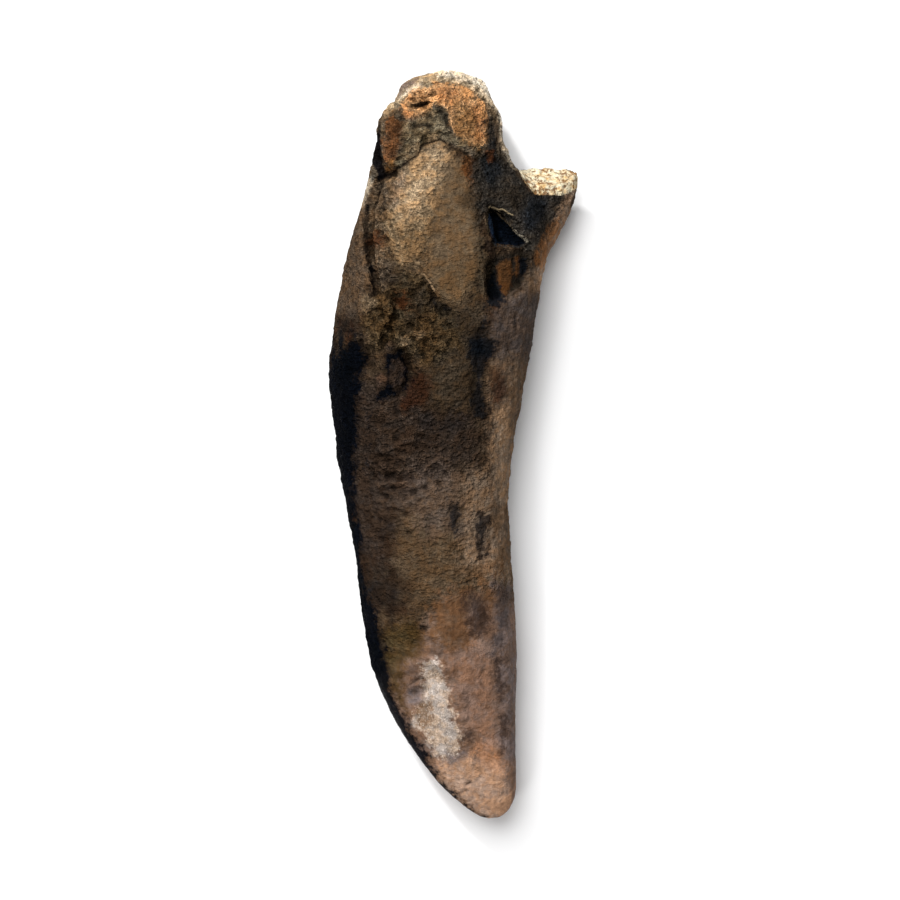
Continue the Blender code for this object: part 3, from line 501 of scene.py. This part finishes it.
# Thin lines along the edge of a patch: patch, how far inside its edge, half width, as seen colour, cover, and
# the outline that the line shows in
EDGE_LINES = {
    # The first two lines are painted shadow that the ledge of the crust casts on the plate below it
    "painted shadow under the ledge": ("crust", -0.2, 0.22, (26, 21, 17), 0.8, (
        (-17.0, 63.0), (-17.0, 68.0), (-10.0, 75.0), (-3.4, 76.0), (-1.4, 73.0), (-4.0, 71.0), (-12.0, 64.0),
    )),
    "faint painted shadow right of the ledge": ("crust", -0.3, 0.26, (44, 36, 28), 0.55, (
        (-3.0, 76.0), (5.0, 72.0), (3.4, 68.0), (-3.0, 71.0),
    )),
    "lower lip of the pit": ("pit", -0.1, 0.28, (226, 212, 188), 0.9, (
        (14.0, 52.4), (15.6, 52.6), (20.0, 50.0), (19.0, 48.4), (17.0, 49.2), (14.8, 50.8),
    )),
    "fine lip of the pit": ("pit", -0.1, 0.2, (120, 104, 82), 0.8, (
        (10.0, 57.0), (11.6, 56.4), (15.0, 52.4), (14.6, 50.6), (10.4, 54.4),
    )),
    "left lip of the pit": ("pit", -0.15, 0.24, (96, 84, 64), 0.7, (
        (6.6, 58.0), (9.0, 57.4), (9.4, 52.0), (8.0, 51.0),
    )),
    "upper lip of the pit": ("brow of the pit", 0.0, 0.24, (188, 166, 130), 0.85, (
        (7.4, 58.6), (15.0, 58.6), (15.0, 55.2), (12.6, 55.8), (10.6, 56.2), (8.6, 56.8),
    )),
    "sill of the pit": ("pit", -0.2, 0.18, (58, 62, 62), 0.5, (
        (9.0, 49.2), (16.6, 48.8), (16.6, 47.4), (9.0, 47.4),
    )),
    "foot of the window": ("floor of the window", -0.1, 0.22, (104, 88, 76), 0.45, (
        (11.6, 36.2), (16.6, 39.6), (17.6, 38.6), (12.0, 34.4),
    )),
    "lit edge of the plate": ("plate", 0.2, 0.24, (186, 154, 118), 0.7, (
        (-8.4, 42.4), (-5.6, 42.4), (-4.0, 37.4), (-6.0, 36.8),
    )),
}

# The broken face of the flange: the way it faces and how closely, where it begins, and how far it is moved
FRACTURE_FACING = Vector((0.0, 1.0, 0.5)).normalized()
FRACTURE_CLOSENESS = (0.78, 0.92)
FRACTURE_FROM_X = (14.0, 17.0)
FRACTURE_FROM_Y = (56.0, 58.0)
FRACTURE_SHIFT = 0.9

# How far a surface faces up, from -1 to 1, where each effect begins and where it is full
CARVED_FACING = (0.15, 0.5)
GRAIN_FACING = (0.2, 0.6)
CRUST_GRAIN_FACING = (0.1, 0.5)
LINE_FACING = (-0.1, 0.2)
UPPER_PAINT_FACING = (-0.3, 0.15)
LOWER_PAINT_FACING = (0.0, 0.4)

# What the tooth rests on stays smooth: how far it faces down, and its height with the sign turned
RESTING_FACING = (0.93, 0.99)
RESTING_DEPTH = (-0.4, -0.1)

# How wide the fade at the edge of a stretch is
SHARP_FADE = 1.0
NARROW_FADE = 2.0
DIRT_FADE = 3.0
FADE = 4.0
CROWN_FADE = 8.0
WRINKLES_FADE = 9.0

# How coarse the grain of the paint is in each stretch, from 0 to 1, the later over the earlier
COARSE_ELSEWHERE = 0.7
COARSENESS = (
    (((-30.0, -8.0), (30.0, -8.0), (30.0, -95.0), (-30.0, -95.0)), 0.35),
    (((7.5, 40.0), (36.0, 62.0), (36.0, -30.0), (10.0, -30.0)), 0.24),
    (((-40.0, 26.0), (-30.0, 66.0), (-21.0, 66.0), (-21.0, 36.0), (-22.0, 26.0)), 0.7),
    (CROWN, 0.07),
    (PLATE, 0.3),
    (BUMPY_PLATE, 0.7),
    (GROOVE_ZONE, 1.0),
    (((-7.0, 34.0), (8.0, 36.0), (8.0, 8.0), (-8.0, 10.0)), 0.5),
    (FIELD, 1.0),
    (DARK_BAND, 1.0),
    (CRUST, 0.9),
    (CREST, 0.5),
)

# All-over grain, as (kind of noise, lump size, octaves, height, where it lies)
GRAINS = {
    "broad unevenness": ("SOFT_NOISE", 5.0, 3, 0.6, "root"),
    "fine unevenness": ("SOFT_NOISE", 1.4, 2, 0.7, "root"),
    "crumbs of the crust": ("HARD_NOISE", 1.9, 3, 1.0, "crust"),
    "knobs of the crust": ("SOFT_NOISE", 3.4, 3, 1.1, "crust"),
    "crumbs of the field": ("HARD_NOISE", 2.4, 3, 1.6, "field"),
    "lumps of the field": ("SOFT_NOISE", 1.6, 2, 1.2, "field"),
    "bumps of the plate": ("SOFT_NOISE", 1.6, 2, 1.1, "bumpy plate"),
    "dimples of the crown": ("SOFT_NOISE", 2.6, 2, 0.4, "crown"),
    "pores of the fracture": ("HARD_NOISE", 1.5, 2, 0.9, "fracture"),
}

# How much less of the root's grain the plate has, and how finely the strength of the grain is set
PLATE_SMOOTHNESS = 0.6
GROUP_LEVELS = 20

# The noises of the material: lump size, octaves, roughness, distortion, and how much finer in X, Y and Z
NOISES = {
    "broad": (15.0, 3.0, 0.6),
    "patchy": (5.0, 5.0, 0.62),
    "mottled": (2.0, 4.0, 0.65),
    "grain": (0.85, 3.0, 0.65),
    "grit": (0.45, 2.0, 0.6),
    "streaks": (1.6, 4.0, 0.65, 0.0, (1.6, 0.22, 1.0)),
    "marbled": (3.4, 4.0, 0.6, 1.6),
    "beads": (1.2, 1.0, 0.5, 0.0, (1.0, 1.4, 1.0)),
    "folds": (3.2, 3.0, 0.55, 1.4, (1.2, 0.8, 1.0)),
    "pitted": (1.3, 3.0, 0.7),
    "scratches": (0.8, 4.0, 0.7, 1.2, (1.8, 0.9, 1.0)),
}
NOISE_GAIN = 9.0

# As seen colours under the paint, of the broken bone and of the scratches, whose pale colour is also the
# painted highlight of the scuffed face, and the tints that vary the paint
GROUND_DARK = (44, 35, 28)
GROUND_PALE = (90, 70, 49)
GROUND_RED = (94, 60, 38)
BONE = (255, 242, 208)
BONE_TAN = (236, 192, 130)
BONE_PORES = (142, 96, 54)
PALE_SCRATCHES_AND_PAINTED_HIGHLIGHT = (240, 228, 214)
WARM_TINT = (1.08, 0.995, 0.92, 1.0)
COOL_TINT = (0.92, 1.0, 1.14, 1.0)
SPECULAR = 0.01
COAT = 0.5
COAT_ROUGHNESS = 0.25

# The light: where each lamp is, its size and its power
LIGHT_LEVEL = 1.42
FLOOR_SIZE = 4000.0
FLOOR_COLOUR = (0.9, 0.9, 0.9, 1.0)
LIGHTS = {
    "key": ((-360.0, 780.0, 1520.0), 1300.0, 27.0),
    "sky": ((-60.0, 60.0, 1900.0), 2200.0, 17.0),
    "rake": ((-560.0, 1040.0, 900.0), 160.0, 14.0),
    "glint": ((-560.0, -560.0, 1150.0), 260.0, 3.0),
}
WORLD_COLOUR = (0.04, 0.04, 0.044, 1.0)


def linear(colour):
    """An as seen colour, 0 to 255, as the linear colour of a surface that looks so in this light."""
    shares = np.array(colour) / 255.0
    values = np.where(shares > 0.04045, ((shares + 0.055) / 1.055) ** 2.4, shares / 12.92) / LIGHT_LEVEL
    return tuple(values) + (1.0,)


def ramp(value, low, high):
    """0 below low, 1 above high, and a smooth rise between them."""
    share = np.clip((value - low) / (high - low), 0.0, 1.0)
    return share * share * (3.0 - 2.0 * share)


def distance_to_line(x, y, line):
    """How far each point is from a line of several stretches, seen from above."""
    best = np.full(x.shape, np.inf)
    for (ax, ay), (bx, by) in zip(line, line[1:]):
        dx, dy = bx - ax, by - ay
        share = np.clip(((x - ax) * dx + (y - ay) * dy) / (dx * dx + dy * dy), 0.0, 1.0)
        best = np.minimum(best, np.hypot(x - ax - share * dx, y - ay - share * dy))
    return best


def depth_inside(x, y, outline):
    """How far each point is inside a closed outline, and below zero outside it."""
    closed = list(outline) + [outline[0]]
    within = np.zeros(x.shape, bool)
    for (ax, ay), (bx, by) in zip(closed, closed[1:]):
        if ay != by:
            crosses = (ay > y) != (by > y)
            within ^= crosses & (x < ax + (y - ay) * (bx - ax) / (by - ay))
    return distance_to_line(x, y, closed) * np.where(within, 1.0, -1.0)


def inside(x, y, outline, slope_width):
    return ramp(depth_inside(x, y, outline), -slope_width / 2.0, slope_width / 2.0)


def read_mesh(mesh):
    """The mesh's points in millimetres, and its normals."""
    points, normals = np.empty(len(mesh.vertices) * 3), np.empty(len(mesh.vertices) * 3)
    mesh.vertices.foreach_get("co", points)
    mesh.vertices.foreach_get("normal", normals)
    return points.reshape(-1, 3) / MM, normals.reshape(-1, 3)


def from_above(points):
    """X and Y of each point on the level that the outlines are drawn on, as it looks from straight above."""
    eye_x, eye_y, eye_z = CAMERA_AT
    scale = (eye_z - DRAWN_AT) / (eye_z - points[:, 2])
    return eye_x + (points[:, 0] - eye_x) * scale, eye_y + (points[:, 1] - eye_y) * scale


def copy_of_node(name):
    """A copy of a CAD node's mesh with its doubled points merged, as the active object."""
    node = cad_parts[name]
    tooth = bpy.data.objects.new("fossil_tooth", node.data.copy())
    bpy.context.scene.collection.objects.link(tooth)
    bpy.ops.object.select_all(action="DESELECT")
    tooth.select_set(True)
    bpy.context.view_layer.objects.active = tooth
    bpy.ops.object.mode_set(mode="EDIT")
    bpy.ops.mesh.select_all(action="SELECT")
    bpy.ops.mesh.remove_doubles(threshold=MERGE_WITHIN * MM)
    bpy.ops.mesh.customdata_custom_splitnormals_clear()
    bpy.ops.object.mode_set(mode="OBJECT")
    return tooth


def refine(tooth):
    """A fine, even mesh over the same shape."""
    skin = tooth.modifiers.new("skin", "REMESH")
    skin.mode = "VOXEL"
    skin.voxel_size = VOXEL * MM
    skin.use_smooth_shade = True
    relax = tooth.modifiers.new("relax", "SMOOTH")
    relax.iterations = RELAX_ROUNDS
    bpy.ops.object.modifier_apply(modifier="skin")
    bpy.ops.object.modifier_apply(modifier="relax")


def lumps(points, size):
    """Smooth noise from about -1 to 1, with lumps of the given size."""
    texture = bpy.data.textures.new("lumps", "CLOUDS")
    texture.noise_scale = size * MM
    values = np.array([texture.evaluate(point)[3] for point in map(Vector, points * MM)])
    bpy.data.textures.remove(texture)
    return 2.0 * values - 1.0


def carve(mesh):
    """Cuts and raises the small features of the upper side along the normals, on lines bent by noise."""
    points, normals = read_mesh(mesh)
    x, y = from_above(points)
    upper = ramp(normals[:, 2], *CARVED_FACING)
    points[:, 1] += FRACTURE_SHIFT * broken_face(points, normals)
    wrinkles = lumps(points * WRINKLE_STRETCH, WRINKLE_SIZE)
    height = WRINKLE_HEIGHT * inside(x, y, WRINKLED, WRINKLES_FADE) * wrinkles
    x = x + BEND * lumps(points, BEND_SIZE)
    y = y + BEND * lumps(points + BEND_ELSEWHERE, BEND_SIZE)
    for outline, rise, slope_width in CARVED_PATCHES.values():
        height += rise * inside(x, y, outline, slope_width)
    for line, rise, half_width in CARVED_LINES.values():
        height += rise * (1.0 - ramp(distance_to_line(x, y, line), 0.0, half_width))
    mesh.vertices.foreach_set("co", ((points + normals * (upper * height)[:, None]) * MM).ravel())
    mesh.update()


def broken_face(points, normals):
    """1 on the broken face of the flange, by the way that it faces and by its outline seen from above."""
    facing = ramp(normals @ np.array(FRACTURE_FACING), *FRACTURE_CLOSENESS)
    facing *= ramp(points[:, 0], *FRACTURE_FROM_X) * ramp(points[:, 1], *FRACTURE_FROM_Y)
    x, y = from_above(points)
    return np.maximum(facing, inside(x, y, BROKEN_FACE, SHARP_FADE) * ramp(normals[:, 2], *LINE_FACING))


def add_groups(tooth):
    """Vertex groups that say how strongly each kind of grain is raised."""
    points, normals = read_mesh(tooth.data)
    x, y = from_above(points)
    facing = normals[:, 2]
    upper = ramp(facing, *GRAIN_FACING)
    resting = ramp(-facing, *RESTING_FACING) * ramp(-points[:, 2], *RESTING_DEPTH)
    crown = inside(x, y, CROWN, CROWN_FADE)
    plate = inside(x, y, PLATE, NARROW_FADE) * upper
    broken = broken_face(points, normals)
    crumbled = np.maximum(inside(x, y, FIELD, FADE), inside(x, y, GROOVE_ZONE, NARROW_FADE))
    parts = {
        "root": (1.0 - crown) * (1.0 - PLATE_SMOOTHNESS * plate) * (1.0 - broken),
        "crust": inside(x, y, CRUST, NARROW_FADE) * ramp(np.abs(facing), *CRUST_GRAIN_FACING),
        "field": crumbled * upper,
        "bumpy plate": inside(x, y, BUMPY_PLATE, FADE) * upper,
        "crown": crown,
        "fracture": broken,
    }
    for name, weights in parts.items():
        group = tooth.vertex_groups.new(name=name)
        levels = np.round(weights * (1.0 - resting) * GROUP_LEVELS).astype(int)
        for level in range(1, GROUP_LEVELS + 1):
            group.add(np.flatnonzero(levels == level).tolist(), level / GROUP_LEVELS, "REPLACE")


def raise_grain(tooth):
    """The all-over grain, each kind by its own Displace modifier."""
    for name, (kind, size, octaves, height, part) in GRAINS.items():
        texture = bpy.data.textures.new(name, "CLOUDS")
        texture.noise_type = kind
        texture.noise_scale = size * MM
        texture.noise_depth = octaves
        grain = tooth.modifiers.new(name, "DISPLACE")
        grain.texture = texture
        grain.strength = height * MM
        grain.mid_level = 0.5
        grain.vertex_group = part
        bpy.ops.object.modifier_apply(modifier=name)
    tooth.vertex_groups.clear()


def standing_out(points, normals, edges):
    """How far each point stands above the surface smoothed around it, in millimetres."""
    smooth = points.copy()
    neighbours = np.bincount(edges.ravel(), minlength=len(points))
    for _ in range(HOLLOW_ROUNDS):
        for axis in range(3):
            values = smooth[:, axis]
            total = np.bincount(edges[:, 0], values[edges[:, 1]], len(points))
            total += np.bincount(edges[:, 1], values[edges[:, 0]], len(points))
            smooth[:, axis] = total / neighbours
    return ((points - smooth) * normals).sum(axis=1)


def add_attribute(mesh, name, values):
    attribute = mesh.attributes.new(name, "FLOAT", "POINT")
    attribute.data.foreach_set("value", values.astype(np.float32))


def add_attributes(tooth):
    """Where each patch and line of paint lies, how the surface stands out, and what each stretch is like."""
    mesh = tooth.data
    points, normals = read_mesh(mesh)
    x, y = from_above(points)
    facing = normals[:, 2]
    edges = np.empty(len(mesh.edges) * 2, np.int32)
    mesh.edges.foreach_get("vertices", edges)
    add_attribute(mesh, "standing out", standing_out(points, normals, edges.reshape(-1, 2)))
    add_attribute(mesh, "fracture", broken_face(points, normals))
    add_attribute(mesh, "dirty end", inside(x, y, DIRTY_END, DIRT_FADE))
    add_attribute(mesh, "enamel", inside(x, y, CROWN, CROWN_FADE))
    coarse = np.full(len(points), COARSE_ELSEWHERE)
    for outline, value in COARSENESS:
        coarse += (value - coarse) * inside(x, y, outline, FADE)
    add_attribute(mesh, "coarse", coarse)
    fading = {
        "both": np.zeros(len(points)),
        "upper": DEPTH_LIMIT * (1.0 - ramp(facing, *UPPER_PAINT_FACING)),
        "lower": DEPTH_LIMIT * (1.0 - ramp(-facing, *LOWER_PAINT_FACING)),
    }
    for name, (*_, side, outlines) in PAINT.items():
        depth = np.max([depth_inside(x, y, outline) for outline in outlines], axis=0) - fading[side]
        add_attribute(mesh, name, np.clip(depth, -DEPTH_LIMIT, DEPTH_LIMIT))
    for name, (*_, outline) in EDGE_LINES.items():
        add_attribute(mesh, name, inside(x, y, outline, SHARP_FADE) * ramp(facing, *LINE_FACING))


class Signal:
    """The output of a shader node, which sums and products can be written with."""

    def __init__(self, socket):
        self.socket = socket
        self.tree = socket.id_data

    def maths(self, operation, first, second):
        node = add_node(self.tree, "Math", {"operation": operation}, {0: first, 1: second})
        return Signal(node.outputs[0])

    def __add__(self, other):
        return self.maths("ADD", self, other)

    __radd__ = __add__

    def __sub__(self, other):
        return self.maths("SUBTRACT", self, other)

    def __rsub__(self, other):
        return self.maths("SUBTRACT", other, self)

    def __mul__(self, other):
        return self.maths("MULTIPLY", self, other)

    __rmul__ = __mul__


def add_node(tree, kind, settings, inputs):
    """Adds a node: its settings first, then its inputs, each a plain value or another node's Signal."""
    node = tree.nodes.new("ShaderNode" + kind)
    for name, value in settings.items():
        setattr(node, name, value)
    for name, value in inputs.items():
        if isinstance(value, Signal):
            tree.links.new(value.socket, node.inputs[name])
        else:
            node.inputs[name].default_value = value
    return node


def step(value, low, high):
    """0 below low, 1 above high, and a smooth rise between them."""
    inputs = {"Value": value, "From Min": low, "From Max": high}
    node = add_node(value.tree, "MapRange", {"interpolation_type": "SMOOTHSTEP"}, inputs)
    return Signal(node.outputs["Result"])


def mix(share, first, second):
    """One colour over another."""
    node = add_node(share.tree, "Mix", {"data_type": "RGBA"}, {0: share, 6: first, 7: second})
    return Signal(node.outputs[2])


def brighten(colour, by):
    """A colour times a value."""
    node = add_node(colour.tree, "VectorMath", {"operation": "SCALE"}, {0: colour, "Scale": by})
    return Signal(node.outputs["Vector"])


def times(first, second):
    """A colour tinted by another, or places drawn out by a factor in each direction."""
    node = add_node(first.tree, "VectorMath", {"operation": "MULTIPLY"}, {0: first, 1: second})
    return Signal(node.outputs["Vector"])


def power_of_e(value):
    return Signal(add_node(value.tree, "Math", {"operation": "EXPONENT"}, {0: value}).outputs[0])


def size_of(value):
    return Signal(add_node(value.tree, "Math", {"operation": "ABSOLUTE"}, {0: value}).outputs[0])


def attribute(tree, name):
    return Signal(add_node(tree, "Attribute", {"attribute_name": name}, {}).outputs["Fac"])


def noise(places, size, detail, roughness, distortion=0.0, factors=(1.0, 1.0, 1.0)):
    """Noise around 0, mostly from -1 to 1, with lumps of the given size in millimetres."""
    inputs = {"Vector": times(places, factors), "Scale": 1.0 / size, "Detail": detail, "Roughness": roughness,
              "Distortion": distortion}
    return (Signal(add_node(places.tree, "TexNoise", {}, inputs).outputs[0]) - 0.5) * NOISE_GAIN


def signals_of_the_fossil(tree):
    """What the material is mixed from: noises on Object coordinates in millimetres, and attributes."""
    position = Signal(add_node(tree, "TexCoord", {}, {}).outputs["Object"])
    places = times(position, (1.0 / MM, 1.0 / MM, 1.0 / MM))
    look = SimpleNamespace(**{name: noise(places, *settings) for name, settings in NOISES.items()})
    look.standing = attribute(tree, "standing out")
    look.coarse = attribute(tree, "coarse")
    look.enamel = attribute(tree, "enamel")
    look.broken = attribute(tree, "fracture")
    # The scuffed face, which gets the coat, the pale scratches and the painted highlight
    look.scuffed = step(attribute(tree, "scuffed face with painted highlight") + 0.8 * look.mottled, -1.2, 1.2)
    look.flank = step(attribute(tree, "right flank"), -1.0, 2.0)
    look.creases = 1.0 - step(size_of(look.folds), 0.0, 0.25)
    look.pores = step(look.pitted + 0.5 * look.broad + 0.9 * attribute(tree, "dirty end"), 0.4, 1.2)
    return look


def painted(tree, look):
    """The colour under the paint, and every patch of paint over it, with ragged edges of two kinds."""
    colour = mix(step(look.patchy + 0.7 * look.broad, -1.6, 1.6), linear(GROUND_DARK), linear(GROUND_PALE))
    colour = mix(step(look.broad - 0.5 * look.patchy, 0.4, 1.8) * 0.5, colour, linear(GROUND_RED))
    ragged_edges = (0.5 * look.mottled - 0.4 * look.patchy, 0.5 * look.patchy + 0.4 * look.mottled)
    for number, (name, (as_seen, cover, edge, ragged, *_)) in enumerate(PAINT.items()):
        rough_edge = ragged_edges[number % 2] + 0.25 * look.grain
        depth = attribute(tree, name) + rough_edge * (0.4 * ragged)
        colour = mix(step(depth, -0.5 * edge, 0.5 * edge) * cover, colour, linear(as_seen))
    return colour


def speckled(colour, look):
    """The colour with its flecks, tints and grain, with painted light where it stands out and painted shade
    in the hollows.
    """
    dark_flecks = step(0.7 * look.grain + 0.5 * look.mottled + 0.3 * look.grit, 0.8, 1.35)
    pale_flecks = step(0.7 * look.grain - 0.4 * look.mottled + 0.5 * look.grit + 0.2 * look.patchy, 0.9, 1.5)
    # Painted light on what stands out and painted shade in the hollows, from the standing out attribute
    painted_light_on_heights = step(look.standing, 0.0, 0.45)
    hollows = step(look.standing * -1.0, 0.02, 0.5)
    grains = 0.3 * look.grit + 0.3 * look.grain + 0.24 * look.mottled + 0.1 * look.beads
    brightness = look.coarse * grains + 0.1 * look.patchy + (0.1 + 0.1 * look.flank) * look.streaks
    brightness = brightness + look.enamel * (0.16 * look.marbled + 0.2 * look.creases)
    brightness = brightness + 0.4 * painted_light_on_heights - 1.1 * hollows
    brightness = brightness + look.coarse * (0.55 * pale_flecks - 1.1 * look.coarse * dark_flecks)
    tint = mix(step(look.patchy - look.mottled, -1.5, 1.5), WARM_TINT, COOL_TINT)
    return brighten(times(colour, tint), power_of_e(brightness))


def edged(tree, colour, look):
    """The colour with the thin lines along the edges of patches, painted shadow under the ledge of the crust
    among them.
    """
    for name, (patch, offset, half_width, as_seen, cover, _) in EDGE_LINES.items():
        away = size_of(attribute(tree, patch) + 0.12 * look.mottled + 0.06 * look.grain - offset)
        line = 1.0 - step(away, 0.4 * half_width, 1.3 * half_width)
        shown = step(attribute(tree, name) + 0.12 * look.grain, 0.35, 0.65)
        colour = mix(line * shown * cover, colour, linear(as_seen))
    return colour


def broken_bone(look):
    """The cream colour of the broken face, with its pores and dirt."""
    bone = mix(step(look.mottled + 0.5 * look.patchy, -0.9, 1.8), linear(BONE), linear(BONE_TAN))
    bone = mix(look.pores * 0.85, bone, linear(BONE_PORES))
    return brighten(bone, power_of_e(0.16 * look.grain + 0.14 * look.grit))


def scratched_with_painted_highlight(colour, look):
    """The colour with the pale scratches of the scuffed face, which also paint in the highlight on that face.
    """
    colour = brighten(colour, power_of_e(0.26 * look.scratches * look.scuffed))
    share = step(look.scratches + 0.3 * look.mottled, 0.5, 1.4) * look.scuffed * 0.6
    return mix(share, colour, linear(PALE_SCRATCHES_AND_PAINTED_HIGHLIGHT))


def finest_relief(look):
    """The height of the relief that is too fine for the mesh, in millimetres."""
    grains = 0.4 * look.mottled + 0.34 * look.beads + 0.24 * look.grain + 0.05 * look.grit
    height = look.coarse * grains * (1.0 - 0.7 * look.broken) + (0.02 + 0.02 * look.flank) * look.streaks
    height = height + look.enamel * (0.06 * look.marbled - 0.03 * look.creases)
    return height - 0.15 * look.pores * look.broken + 0.035 * look.scratches * look.scuffed


def fossil_material():
    material = bpy.data.materials.new("fossil")
    material.use_nodes = True
    tree = material.node_tree
    shader = tree.nodes["Principled BSDF"]
    look = signals_of_the_fossil(tree)
    colour = speckled(painted(tree, look), look)
    colour = edged(tree, colour, look)
    colour = mix(step(look.broken + 0.06 * look.mottled, 0.3, 0.6), colour, broken_bone(look))
    colour = scratched_with_painted_highlight(colour, look)
    roughness = 0.8 - 0.35 * look.enamel + 0.04 * look.mottled
    coat = look.scuffed * COAT
    bump = add_node(tree, "Bump", {}, {"Strength": 1.0, "Distance": MM, "Height": finest_relief(look)})
    tree.links.new(colour.socket, shader.inputs["Base Color"])
    tree.links.new(roughness.socket, shader.inputs["Roughness"])
    tree.links.new(coat.socket, shader.inputs["Coat Weight"])
    tree.links.new(bump.outputs["Normal"], shader.inputs["Normal"])
    shader.inputs["Specular IOR Level"].default_value = SPECULAR
    shader.inputs["Coat Roughness"].default_value = COAT_ROUGHNESS
    return material


def make_tooth():
    tooth = copy_of_node("tooth")
    refine(tooth)
    carve(tooth.data)
    add_groups(tooth)
    raise_grain(tooth)
    add_attributes(tooth)
    tooth.data.materials.clear()
    tooth.data.materials.append(fossil_material())
    bpy.ops.object.shade_smooth()
    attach(tooth, "root")
    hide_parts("tooth")


def make_floor():
    bpy.ops.mesh.primitive_plane_add(size=FLOOR_SIZE * MM)
    floor = bpy.context.object
    floor.name = "floor"
    material = bpy.data.materials.new("white surface")
    material.use_nodes = True
    shader = material.node_tree.nodes["Principled BSDF"]
    shader.inputs["Base Color"].default_value = FLOOR_COLOUR
    shader.inputs["Roughness"].default_value = 1.0
    shader.inputs["Specular IOR Level"].default_value = 0.0
    floor.data.materials.append(material)


def add_lights():
    for name, (place, size, power) in LIGHTS.items():
        bpy.ops.object.light_add(type="AREA", location=Vector(place) * MM)
        light = bpy.context.object
        light.name = name
        light.data.shape = "DISK"
        light.data.size = size * MM
        light.data.energy = power
        light.rotation_euler = Vector(place).to_track_quat("Z", "Y").to_euler()
    world = bpy.data.worlds.new("studio")
    bpy.context.scene.world = world
    world.use_nodes = True
    world.node_tree.nodes["Background"].inputs["Color"].default_value = WORLD_COLOUR


def add_camera():
    bpy.ops.object.camera_add(location=Vector(CAMERA_AT) * MM, rotation=(0.0, 0.0, 0.0))
    camera = bpy.context.object
    camera.data.lens = LENS
    camera.data.sensor_width = SENSOR
    bpy.context.scene.camera = camera
    bpy.context.scene.view_settings.view_transform = "Standard"


make_tooth()
make_floor()
add_lights()
add_camera()
